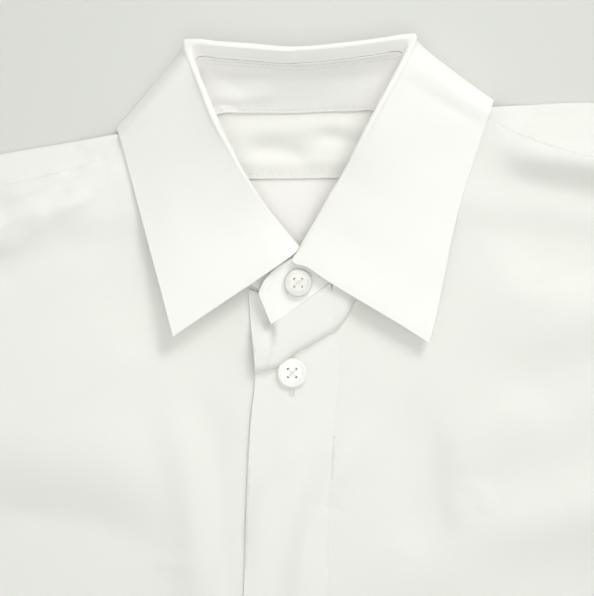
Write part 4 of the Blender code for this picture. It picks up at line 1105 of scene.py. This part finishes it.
def loft(name, grid, material, lines=(), wall=WALL, ring=False, facing=None):
    """A wall through a grid: sections in rows, places along a section in columns.

    facing is the wall's direction at the first place of each section. lines are distances across a section,
    or from its far end where they are negative, that have a sewn line along them.
    """
    note_grid(name, grid, ring)
    normals = grid_normals(grid, ring)
    if facing is not None:
        normals[:, 0] = np.sign((normals[:, 0] * facing).sum()) * facing
    along, across = grid_cut(grid)
    aside = np.full(across.shape, SEAM_REACH)
    for line in lines:
        distance = np.abs(across - line if line >= 0 else across - across[:, -1:] - line)
        aside = np.minimum(distance, aside)
    half = normals * wall / 2
    top, low = (grid + half).reshape(-1, 3), (grid - half).reshape(-1, 3)
    cut_places = np.column_stack([along.ravel(), across.ravel()])
    seam_places = np.column_stack([along.ravel(), aside.ravel()])
    sew_shell(name, top, low, grid_faces(grid, ring), cut_places, seam_places, material)
    return normals


# %% [markdown]
# The leaf starts inside, where it is sewn to the stand, comes up over the roll and falls outwards. Inside
# the back of the neck its short inner part shows above the seam, with an upright join in the middle whose
# left side laps over the right one.

# %% The leaf's sections: over the roll, and down to its edge
LEAF_DENTS = [
    (-100, 90, -60, 20, 4, 12, -0.5),
    (-62, 60, -40, 0, -4, 10, 0.5),
    (30, 40, 70, 70, 4, 12, -0.5),
    (40, 0, 66, 30, -3, 9, 0.4),
]
LEAF_RUN = 2.2

leaf = [inner_line + inner_down * turn * part for part in np.linspace(1, 0, 8)]
eased_by = inner_line - (centre - out * LEAF_ROLL)
for angle in np.radians(np.linspace(-90, 90, 13)[1:]):
    part = smooth(math.radians(-20), math.radians(-90), angle)
    leaf.append(centre + LEAF_ROLL * (out * math.sin(angle) - down * math.cos(angle)) + eased_by * part)
# From the roll each section falls along a cubic curve, whose two handles are towards and late.
start = centre + out * LEAF_ROLL
towards = start + down * LEAF_RUN - np.array([0, 0, 1.0]) * fall
towards[:, :2] += lead
late = edge + (start - edge) * (0.7 - 1.1 * settle)
late[:, 2] = edge[:, 2] + (start[:, 2] - edge[:, 2]) * settle[:, 0]
for part in np.linspace(0, 1, 46)[1:]:
    left = 1 - part
    point = left**3 * start + 3 * left**2 * part * towards + 3 * left * part**2 * late + part**3 * edge
    dent = fold_height(point[:, 0], point[:, 1], LEAF_DENTS) * smooth(0.15, 0.4, part)
    dent *= smooth(3, 6, point[:, 2])
    leaf.append(point + np.column_stack([np.zeros((len(point), 2)), dent]))
leaf = np.stack(leaf, axis=1)
print("places across the leaf:", leaf.shape[1])

# %% Curl the leaf's front edges, push its corner, lap its join and loft it
LEAF_WALL = 1.1
CURL_HEIGHTS = (3.2, 1.6)
CURL_REACHES = (16, 12)
CORNER_AT = (-0.5, 18.0)
CORNER_PUSH = (-3.0, -2.6)
CORNER_REACH = 4.0
CORNER_DEPTH = 6
TABLE_CLEARANCE = 0.05
JOIN_X = -1.4
JOIN_LAP = 0.5
INNER_PLACES = 10
place = np.arange(leaf.shape[1])
from_front = run_of(edge)
from_end = from_front[-1] - from_front
curls = zip(CURL_HEIGHTS, (from_front, from_end), CURL_REACHES)
curl = sum(high * bell(way, reach) for high, way, reach in curls)
leaf[:, :, 2] += curl[:, None] * smooth(18, 34, place)
near_corner = bell(np.linalg.norm(leaf[:, :, :2] - CORNER_AT, axis=2), CORNER_REACH)
near_corner *= bell(from_end, CORNER_DEPTH)[:, None] * smooth(14, 22, place)
leaf[:, :, :2] += near_corner[:, :, None] * CORNER_PUSH
leaf[:, :, 2] = np.maximum(leaf[:, :, 2], LEAF_WALL / 2 + TABLE_CLEARANCE)
inner_x = leaf[:, :INNER_PLACES, 0]
lap = JOIN_LAP * smooth(0.5, -0.5, inner_x - JOIN_X) * smooth(-44, -36, inner_x)
leaf[:, :INNER_PLACES] -= inner_out[:, None, :] * lap[:, :, None]
loft("collar_leaf_cloth", leaf, fused_cotton, lines=(1.0,), wall=LEAF_WALL, facing=inner_out)

# %% [markdown]
# The stand joins the leaf a hair below its inner edge and runs down to the neck seam. It carries on past
# the leaf at both front ends, one under the other, and the upper end is rounded and buttoned. Its inside is
# the best-lit part of the neck, and the hollows at its right end (the picture's left) are dark.

# %% The stand's sections, from the under end round the neck to the upper one
SECTION_STEP = 1.6
JOIN_GAP = 2.3 * SEAM_GAP
# Columns: x, y and z of the end's lower edge, then of its top.
UNDER_END = np.array([
    (13.5, -2.0, 4.9, 13.0, 12.0, 5.3),
    (10.0, -3.0, 4.9, 10.5, 15.0, 5.5),
    (2.0, -3.5, 4.9, 4.5, 17.0, 6.2),
])
UPPER_END = np.array([
    (4.0, -0.9, 9.7, -5.5, 16.3, 10.5),
    (-5.0, -7.2, 10.1, -11.0, 12.2, 10.6),
    (-9.8, -10.5, 10.3, -14.8, 7.8, 10.6),
    (-11.6, -11.8, 10.3, -17.3, 2.0, 10.6),
])
apart = unit(np.cross(inner_out, np.gradient(leaf[:, 0], axis=0)))
stand_top = inner_line + inner_down * turn
stand_top = stand_top + apart * np.sign((apart * inner_down).sum()) * JOIN_GAP
coarse = np.hstack([
    np.vstack([UNDER_END[:, :3], seam, UPPER_END[:, :3]]),
    np.vstack([UNDER_END[:, 3:], stand_top, UPPER_END[:, 3:]]),
    inner_out[[0] * len(UNDER_END) + [*range(len(inner_out))] + [-1] * len(UPPER_END)],
])
knots = run_of(coarse[:, :6])
fine_rows = through(coarse, knots, np.linspace(0, knots[-1], round(knots[-1] / SECTION_STEP)))
bottoms, tops, facing = fine_rows[:, 0:3], fine_rows[:, 3:6], unit(fine_rows[:, 6:9])
print("sections of the stand:", len(fine_rows))

# %% Fold and sag the stand's inside, and loft it
STAND_DEPTH = 34
STAND_SAG = 2.0
STAND_STITCH = 1.3
STAND_LINES = (1.5, 4.0, -STAND_STITCH)
NEAR_TOP = [0.0, 0.75, 1.5, 2.7, 4.0, 5.2]
NEAR_FOOT = [2.6, STAND_STITCH, 0.6, 0.0]
# Folds as above, with the way down from the stand's top as their y. They stand off towards the neck.
STAND_FOLDS = [
    (-48, 10.2, -22, 21.08, 0, 5, -1.8),
    (-42, 28.9, -26, 32.3, 0, 4, -1.4),
    (-40, 17.0, -4, 10.2, 0, 4, -0.9),
    (-34, 27.2, -8, 21.08, 0, 4, 1.0),
    (-10, 10.2, 34, 15.3, 0, 5, -0.4),
    (16, 30.6, 40, 17.0, 0, 6, 0.6),
]
height = np.linalg.norm(bottoms - tops, axis=1)[:, None]
near_top = np.repeat([NEAR_TOP], len(tops), axis=0)
between = NEAR_TOP[-1] + (height - NEAR_FOOT[0] - NEAR_TOP[-1]) * np.linspace(0, 1, 20)[None, 1:-1]
d = np.hstack([near_top, between, height - NEAR_FOOT]) / height
stand = tops[:, None] + (bottoms - tops)[:, None] * d[:, :, None]
lift = fold_height(stand[:, :, 0], d * STAND_DEPTH, STAND_FOLDS, early=0.1)
at_back = smooth(60, 72, stand[:, :, 1]) * smooth(0.02, 0.2, d) * smooth(1.0, 0.9, d)
sag = STAND_SAG * np.sin(math.pi * d**0.8) * smooth(55, 78, stand[:, :, 1])
stand = stand - facing[:, None, :] * (lift * at_back - sag)[:, :, None]
# The stand takes the whitest cotton: painted light for its shaded inside.
normals = loft("collar_stand_cloth", stand, lit_stand_cotton, lines=STAND_LINES, facing=facing)

# %% Sew along the stand, on the side that faces the neck
across = grid_cut(stand)[1]


def along_stand(distance):
    """The stand's middle, and its direction away from the neck, along a line at a distance from its top.

    A negative distance is measured from the lower edge.
    """
    wanted = np.broadcast_to(distance if distance >= 0 else across[:, -1] + distance, len(stand))
    places = np.arange(stand.shape[1])
    column = np.array([np.interp(way, row, places) for way, row in zip(wanted, across)])
    low = np.clip(column.astype(int), 0, stand.shape[1] - 2)
    part = (column - low)[:, None]
    line = np.arange(len(stand))
    middle = stand[line, low] * (1 - part) + stand[line, low + 1] * part
    away = normals[line, low] * np.sign((normals[line, low] * facing).sum(axis=1))[:, None]
    return middle, away


for distance in STAND_LINES:
    middle, away = along_stand(distance)
    inside_neck = middle[:, 1] > 30
    stitch_rows.append((middle - away * WALL / 2)[inside_neck])
print("rows of stitches:", len(stitch_rows))

# %% [markdown]
# ## Sleeves and cuffs
# The sleeves spread out from the body at 52 degrees to it. Each is a flattened tube with a lower layer on
# the surface and a crumpled upper one, so it is lofted in closed rings. The cuffs are fused bands that go
# once round and lap over themselves where they button. The picture cuts all of this off, so it is plain.

# %% The folds of a sleeve, along it and across it
SLEEVE_LENGTH = 565.0
SLEEVE_ANGLE = math.radians(52)
SLEEVE_BOW = (14, 10)
CUFF_WIDTH = 115.0
SLEEVE_FOLDS = [
    (8, 60, 150, 25, 6, 12, 6.0),
    (20, 170, 120, 60, -10, 12, 6.5),
    (60, 180, 190, 110, -8, 10, 5.5),
    (150, 160, 300, 60, 10, 13, 5.0),
    (210, 40, 380, 100, -8, 12, 5.0),
    (300, 140, 400, 30, 8, 11, 5.5),
    (360, 120, 520, 70, -6, 11, 4.5),
    (430, 28, 562, 40, 4, 8, 4.0),
    (460, 84, 562, 74, -3, 7, 4.5),
]
SLEEVE_CREASES = [
    (40, 100, 110, 80, 5, 5, 1.0),
    (90, 30, 180, 60, -6, 5, 0.9),
    (180, 100, 250, 130, 4, 6, 1.0),
    (250, 60, 330, 40, 5, 5, 0.9),
    (330, 90, 420, 110, -5, 5, 1.0),
    (420, 60, 500, 50, 3, 5, 0.8),
]


# %% Loft the sleeves
ARMHOLE_STEP = 4.0
ARMHOLE_GAP = 2.7 * SEAM_GAP
ARMHOLE_FADE = 0.3
BODY_GAP = 3.0
GAP_GROWTH = 500
CUFF_FLATTENS = 0.6
# Where the sections are, as shares of the sleeve's length: close together beside the armhole.
SLEEVE_SHARES = np.r_[0, 0.003, 0.006, 0.012, 0.02, 0.03, 0.045, np.linspace(0.06, 1, 78)]


def sew_sleeve(name, sign, armhole):
    """A flattened tube. Gives the corner where the cuff starts, and its directions along and across."""
    curve = plan_curve(armhole)
    start = beside(plan_curve(armhole, ARMHOLE_STEP), sign * ARMHOLE_GAP)
    start[-1, 0] += sign * 1.5 * WALL
    shoulder, underarm = start[0], start[-1]
    along = np.array([sign * math.sin(SLEEVE_ANGLE), -math.cos(SLEEVE_ANGLE)])
    across = np.array([-sign * math.cos(SLEEVE_ANGLE), -math.sin(SLEEVE_ANGLE)])
    steps = np.linspace(0, 1, len(start))[:, None]
    straight = shoulder + (underarm - shoulder) * steps
    grid = []
    for part in SLEEVE_SHARES:
        outer = shoulder + along * SLEEVE_LENGTH * part - across * SLEEVE_BOW[0] * math.sin(math.pi * part)
        inner = underarm * (1 - part) + (shoulder + along * SLEEVE_LENGTH + across * CUFF_WIDTH) * part
        inner = inner + across * SLEEVE_BOW[1] * math.sin(math.pi * part)
        row = outer + (inner - outer) * steps + (start - straight) * max(0.0, 1 - part / ARMHOLE_FADE) ** 2
        body = sign * np.interp(-row[:, 1], -curve[:, 1], curve[:, 0])
        row[:, 0] = sign * np.maximum(sign * row[:, 0], body + min(BODY_GAP, part * GAP_GROWTH))
        first, last = row[0], row[-1]
        plan = row[2:-2]
        offset = plan - shoulder
        own_x, own_y = offset @ along, offset @ across
        lift = fold_height(own_x, own_y, SLEEVE_FOLDS)
        lift = np.maximum(lift, 0) + fold_height(own_x, own_y, SLEEVE_CREASES) * smooth(0, 1, lift)
        rim = np.minimum(np.linalg.norm(plan - first, axis=1), np.linalg.norm(plan - last, axis=1))
        lift = np.maximum(lift, 0) * smooth(2, 16, rim) * smooth(0, 0.08, part)
        lift *= 1 - CUFF_FLATTENS * smooth(0.93, 1, part)
        upper = np.column_stack([plan, FRONT_Z + lift])
        lower = np.column_stack([plan, np.full(len(plan), BACK_Z)])
        turns = []
        for end, toward in ((last, unit(plan[-1] - last)), (first, unit(plan[0] - first))):
            arc = []
            for angle in np.radians(np.linspace(-90, 90, 9)):
                reach_in = WALL + FOLD_RADIUS * (1 - math.cos(angle))
                z = FOLD_RADIUS * math.sin(angle) + (FRONT_Z + BACK_Z) / 2
                arc.append([*(end + toward * reach_in), z])
            turns.append(np.array(arc))
        grid.append(np.vstack([lower, turns[0], upper[::-1], turns[1][::-1]]))
    grid = np.array(grid)
    loft(name, grid if sign < 0 else grid[:, ::-1], body_cotton, ring=True)
    return shoulder + along * SLEEVE_LENGTH, along, across


corners = {
    "right": (-1, *sew_sleeve("sleeve_right_cloth", -1, ARMHOLE_RIGHT)),
    "left": (1, *sew_sleeve("sleeve_left_cloth", 1, ARMHOLE_LEFT)),
}

# %% Loft the cuffs and sew round them
CUFF_LENGTH = 65.0
CUFF_WALL = 1.5
CUFF_LAP = 18.0
button_seats = {}
low = CUFF_WALL / 2
high = low + 2 * FOLD_RADIUS
lap = high + CUFF_WALL + SEAM_GAP
button_at = CUFF_WIDTH * 0.42
half_turn = np.radians(np.linspace(90, -90, 11))
fold = [(FOLD_RADIUS * (1 - math.cos(a)), low + FOLD_RADIUS * (1 + math.sin(a))) for a in half_turn]
path = [(button_at + CUFF_LAP, high)]
path += [(CUFF_WIDTH - from_fold, high) for from_fold in (40, 16, 8)]
path += [(CUFF_WIDTH - reach, z) for reach, z in fold]
path += [(CUFF_WIDTH * share, low) for share in (0.85, 0.66, 0.5, 0.33, 0.15)]
path += fold[::-1]
path += [(button_at * 0.3, high), (button_at * 0.55, high + 0.1), (button_at - 6, lap - 0.6)]
path += [(button_at + past, lap) for past in (0, CUFF_LAP / 2, CUFF_LAP - 1)]
for side, (sign, corner, along, across) in corners.items():
    grid = []
    for reach in np.linspace(SEAM_GAP + 0.3, CUFF_LENGTH, 24):
        grid.append([[*(corner + along * reach + across * place), z] for place, z in path])
    grid = np.array(grid)
    loft(f"cuff_{side}_cloth", grid if sign < 0 else grid[:, ::-1], fused_cotton, wall=CUFF_WALL)
    middle = corner + along * CUFF_LENGTH / 2 + across * (button_at + CUFF_LAP / 2)
    button_seats[f"button_cuff_{side}"] = (middle, lap + low)

# %% [markdown]
# ## Stitches
# A row of stitches is one shape repeated along a line, so Geometry Nodes sew it: the line is measured off
# in equal steps, a short rounded stitch is set on every step and turned along the line, and a fixed seed
# makes their lengths differ a little, as they do from a machine. Instances don't survive the export, so the
# tree ends by making them real and giving them the thread's material. The same tree, with its stitches
# turned across the line and set close, sews the edges of the buttonholes.

# %% Build the tree that sews a row
STITCH_SEED = 11


def end_tree(tree, geometry, thread, socket):
    """Makes a tree's instances real, gives them the thread's material and sends them out."""
    real = put(tree, "GeometryNodeRealizeInstances", {"Geometry": geometry}).outputs[0]
    finished = put(tree, "GeometryNodeSetMaterial", {"Geometry": real, "Material": thread}).outputs[0]
    tree.links.new(finished, socket)


sewing, inside, result = start_group(
    "sew a row", "GeometryNodeTree",
    {
        "Lines": ("Geometry", None), "Step": ("Float", 2.6 * MM), "Stitch length": ("Float", 2.1 * MM),
        "Thread width": ("Float", 0.42 * MM), "Turn": ("Float", 0.0), "Thread": ("Material", None),
    },
    {"Stitches": ("Geometry", None)},
)
curves = put(sewing, "GeometryNodeMeshToCurve", {"Mesh": inside["Lines"]}).outputs[0]
steps = put(
    sewing, "GeometryNodeResampleCurve", {"Curve": curves, "Length": inside["Step"]}, mode="LENGTH",
).outputs[0]
tangent = put(sewing, "GeometryNodeInputTangent").outputs[0]
aligned = put(sewing, "FunctionNodeAlignRotationToVector", {"Vector": tangent}, axis="X").outputs[0]
twist = put(sewing, "ShaderNodeCombineXYZ", {"Z": inside["Turn"]}).outputs[0]
turned = put(sewing, "FunctionNodeEulerToRotation", {0: twist}).outputs[0]
aligned = put(
    sewing, "FunctionNodeRotateRotation", {"Rotation": aligned, "Rotate By": turned}, rotation_space="LOCAL",
).outputs[0]
ball = put(sewing, "GeometryNodeMeshUVSphere", {"Segments": 6, "Rings": 4, "Radius": 0.5}).outputs[0]
size = put(
    sewing, "ShaderNodeCombineXYZ",
    {"X": inside["Stitch length"], "Y": inside["Thread width"], "Z": inside["Thread width"]},
).outputs[0]
stitch = put(sewing, "GeometryNodeTransform", {"Geometry": ball, "Scale": size}).outputs[0]
vary = put(
    sewing, "FunctionNodeRandomValue", {"Min": 0.85, "Max": 1.1, "Seed": STITCH_SEED}, data_type="FLOAT",
).outputs[1]
sewn_row = put(
    sewing, "GeometryNodeInstanceOnPoints",
    {"Points": steps, "Instance": stitch, "Rotation": aligned, "Scale": vary},
).outputs[0]
end_tree(sewing, sewn_row, inside["Thread"], result.inputs["Stitches"])
print("nodes in the tree:", len(sewing.nodes))

# %% Run the tree on every row of stitches


def plain_mesh(name, lines, tree, settings):
    """Runs a tree on a set of 3-D lines and keeps its result as a plain mesh."""
    points, edges = [], []
    for line in lines:
        start = len(points)
        points += (np.asarray(line) * MM).tolist()
        edges += [(start + n, start + n + 1) for n in range(len(line) - 1)]
    base = bpy.data.meshes.new(name)
    base.from_pydata(points, edges, [])
    made = bpy.data.objects.new(name, base)
    scene.collection.objects.link(made)
    modifier = made.modifiers.new("rule", "NODES")
    modifier.node_group = tree
    sockets = {item.name: item.identifier for item in tree.interface.items_tree if item.in_out == "INPUT"}
    for label, value in settings.items():
        modifier[sockets[label]] = value
    shown = made.evaluated_get(bpy.context.evaluated_depsgraph_get())
    real_mesh = bpy.data.meshes.new_from_object(shown)
    made.modifiers.remove(modifier)
    made.data = real_mesh
    bpy.data.meshes.remove(base)
    real_mesh.name = name
    real_mesh.shade_smooth()
    shirt[name] = made
    print(f"{name}: {len(real_mesh.polygons)} faces on {len(lines)} lines")


plain_mesh("topstitching", stitch_rows, sewing, {"Thread": thread_cotton})

# %% [markdown]
# ## Buttons
# Each button is a turned disc: a rounded rim round a dished middle, with four holes. A disc with holes in
# it is a flat cut with holes left out, so the same triangulation makes it: rings of points give the turned
# form, and the triangles inside the four holes are dropped before the two faces are joined through their
# edges. The collar's button is shaded by the leaf above it, and the next one lies in full light.

# %% Cut a button's disc with its holes
BUTTON_RADIUS = 6.1
FRONT_RADIUS = 6.6
HOLE_RADIUS = 0.6
HOLE_AT = 1.65
RINGS = ((1.0, 64), (0.97, 64), (0.91, 60), (0.84, 56), (0.76, 52), (0.68, 44), (0.5, 32))
CORNERS = ((1, 1), (-1, 1), (-1, -1), (1, -1))


def circle_of(count):
    turns = np.linspace(0, 2 * math.pi, count, endpoint=False)
    return np.column_stack([np.cos(turns), np.sin(turns)])


def button_cut():
    """Flat points and triangles of a disc with four holes in it, for a radius of 1."""
    loops = [circle_of(count) * radius for radius, count in RINGS]
    hole = circle_of(16) * HOLE_RADIUS / BUTTON_RADIUS
    middles = [np.array(corner) * HOLE_AT / BUTTON_RADIUS for corner in CORNERS]
    loops += [hole + middle for middle in middles]
    edges, start = [], 0
    for loop in loops:
        edges += [(start + n, start + (n + 1) % len(loop)) for n in range(len(loop))]
        start += len(loop)
    points = [Vector(p) for p in np.vstack([*loops, [(0, 0)]])]
    made = delaunay_2d_cdt(points, edges, [list(range(len(loops[0])))], 1, 1e-5)
    flat, faces = np.array([tuple(v) for v in made[0]]), np.array([tuple(f) for f in made[2]])
    centres = flat[faces].mean(axis=1)
    away = np.min([np.linalg.norm(centres - middle, axis=1) for middle in middles], axis=0)
    return flat, faces[away > 0.93 * HOLE_RADIUS / BUTTON_RADIUS]


# %% Turn the buttons and set each one on the cloth below it
BUTTON_SPACING = 108.0
FIRST_BUTTON_Y = -33.8
FIRST_BUTTON_IN = 16.6
# The turned form, as share of the radius and height.
FACE = [
    (0.0, 1.9), (0.5, 1.92), (0.68, 1.96), (0.76, 2.05), (0.84, 2.2), (0.91, 2.25), (0.97, 2.02), (1.0, 1.5),
]
UNDERSIDE = [(0.0, 0.0), (0.8, 0.0), (0.97, 0.5), (1.0, 0.9)]


def turn_button(name, place, under):
    """A button a seam's gap above the cloth. Gives the height of its underside."""
    flat, faces = button_cut()
    from_middle = np.linalg.norm(flat, axis=1)
    radius = FRONT_RADIUS if "front" in name else BUTTON_RADIUS
    plan = np.array(place) + flat * radius
    base = under + SEAM_GAP
    top = np.column_stack([plan, base + np.interp(from_middle, *zip(*FACE))])
    low = np.column_stack([plan, base + np.interp(from_middle, *zip(*UNDERSIDE))])
    note_cut(name + "_disc", flat * radius, faces)
    # The collar's button gets the grey pearl: painted shade from the leaf above it.
    material = shaded_pearl if "collar" in name else pearl
    sew_shell(name + "_disc", top, low, faces, plan, seam_at(plan, []), material, sharp=50)
    return base


def highest_under(x, y):
    """The highest point of the upper front below a button."""
    turns = np.linspace(0, 2 * math.pi, 24)
    rings = [upper_z(x + r * np.cos(turns), y + r * np.sin(turns)) for r in (2.0, 5.2)]
    return np.concatenate(rings).max() + WALL / 2


buttons = {"button_collar": ((0.5, 6.8), 10.2 + WALL / 2)}
for number in range(5):
    y = FIRST_BUTTON_Y - BUTTON_SPACING * number
    x = float(band_edge(y)) + (PLACKET_WIDTH / 2 if number else FIRST_BUTTON_IN)
    buttons[f"button_front_{number + 1}"] = ((x, y), highest_under(x, y))
buttons.update(button_seats)
bases = {name: turn_button(name, place, under) for name, (place, under) in buttons.items()}
print("undersides in mm:", {name: round(float(base), 1) for name, base in bases.items()})

# %% [markdown]
# ## Thread in the buttons
# Two crossed strands, of three turns of thread each, come up through one hole and go down through the one
# diagonally opposite. A strand is an arc, and turning a line into a round thread is a rule again: Geometry
# Nodes sweep a small circle along each arc.

# %% Build the tree that sweeps thread along an arc
sweep, inside, result = start_group(
    "sweep thread", "GeometryNodeTree",
    {"Arcs": ("Geometry", None), "Thread width": ("Float", 0.42 * MM), "Thread": ("Material", None)},
    {"Strands": ("Geometry", None)},
)
curves = put(sweep, "GeometryNodeMeshToCurve", {"Mesh": inside["Arcs"]}).outputs[0]
radius = reckon(sweep, "MULTIPLY", inside["Thread width"], 0.5)
circle = put(sweep, "GeometryNodeCurvePrimitiveCircle", {"Resolution": 8, "Radius": radius}).outputs[0]
tube = put(
    sweep, "GeometryNodeCurveToMesh", {"Curve": curves, "Profile Curve": circle, "Fill Caps": True},
).outputs[0]
end_tree(sweep, tube, inside["Thread"], result.inputs["Strands"])
print("nodes in the tree:", len(sweep.nodes))

# %% Draw the arcs through the holes and sweep them
STRANDS = (-0.34, 0.0, 0.34)
THREAD_HIGH = 1.75
CROSSING = 0.3
THREAD_DROP = 0.9
arcs = []
for name, (place, _) in buttons.items():
    for across in (math.pi / 4, -math.pi / 4):
        direction = np.array([math.cos(across), math.sin(across)])
        aside = np.array([-direction[1], direction[0]])
        reach = HOLE_AT * math.sqrt(2)
        for strand in STRANDS:
            arc = []
            for part in np.linspace(-1, 1, 15):
                side = np.clip(part * 1.15, -1, 1)
                plan = np.array(place) + direction * reach * side + aside * strand * (1 - 0.5 * side * side)
                drop = THREAD_DROP * smooth(0.86, 1.0, abs(part))
                crossing = CROSSING if across > 0 else 0.0
                arc.append([*plan, bases[name] + THREAD_HIGH + crossing * (1 - side * side) - drop])
            arcs.append(arc)
plain_mesh("button_thread", arcs, sweep, {"Thread": thread_cotton})

# %% [markdown]
# ## Buttonholes
# A buttonhole is a slit with close stitches across both of its edges and a bar at each end. On the band the
# slits run up and down, and the end of one shows below its button. The one on the stand lies along the
# stand, under its button, and the cuffs' run along the cuff.

# %% Sew the buttonholes
HOLE_HALF = 7
STITCHES_ASIDE = 0.75
PAST_FRONT_BUTTON = 3.6
hole_lines = []
for name, (place, under) in buttons.items():
    run = np.array([0.0, -1.0])
    if name == "button_collar":
        run = unit(np.array([-0.8, -0.6]))
    if name in button_seats:
        run = corners[name.rsplit("_", 1)[1]][3]
    aside = np.array([-run[1], run[0]])
    shift = PAST_FRONT_BUTTON if name.startswith("button_front") else 0.0
    reaches = np.linspace(-HOLE_HALF, HOLE_HALF, 15) + shift
    for side in (-STITCHES_ASIDE, STITCHES_ASIDE):
        line = np.array([np.array(place) + run * reach + aside * side for reach in reaches])
        if name.startswith("button_front"):
            z = upper_z(line[:, 0], line[:, 1]) + WALL / 2
        else:
            z = np.full(len(line), under)
        hole_lines.append(np.column_stack([line, z + 0.05]))
settings = {
    "Thread": thread_cotton, "Step": 0.42 * MM, "Stitch length": 1.5 * MM, "Thread width": 0.36 * MM,
    "Turn": math.pi / 2,
}
plain_mesh("buttonhole_stitches", hole_lines, sewing, settings)

# %% [markdown]
# ## Putting the pieces in place
# Every piece rides on the shirt's one body and stands in for the solid that it was made from, which is
# hidden. A table lists what each cloth piece lies on, and the size of its flat cut is looked up.

# %% Ride and replace
RESTS_ON = {
    "back": [], "yoke": ["back_cloth"], "front_right": ["back_cloth"], "front_left": ["back_cloth"],
    "placket": ["front_right_cloth"], "collar_stand": ["yoke_cloth"], "collar_leaf": ["collar_stand_cloth"],
    "sleeve_right": [], "sleeve_left": [], "cuff_right": [], "cuff_left": [],
}
for node, under in RESTS_ON.items():
    piece = shirt[f"{node}_cloth"]
    width, length, area = flat_sizes[piece.name]
    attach(piece, "root")
    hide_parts(node)
    size = (width * MM, length * MM)
for name in buttons:
    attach(shirt[f"{name}_disc"], "root")
    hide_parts(name)
for name in ("topstitching", "button_thread", "buttonhole_stitches"):
    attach(shirt[name], "root")
print("pieces:", len(shirt))

# %% [markdown]
# Last, the box of the dressed shirt is set beside the box of the solids, so that any piece that has grown
# out of it shows up at once.

# %% Compare the boxes and finish
boxes = {"cad": [list(corner) for corner in cad_box], "visual": [list(corner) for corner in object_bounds()]}
for label, box in boxes.items():
    print(label, "box in mm:", [round((high - low) / MM, 1) for low, high in zip(*box)])
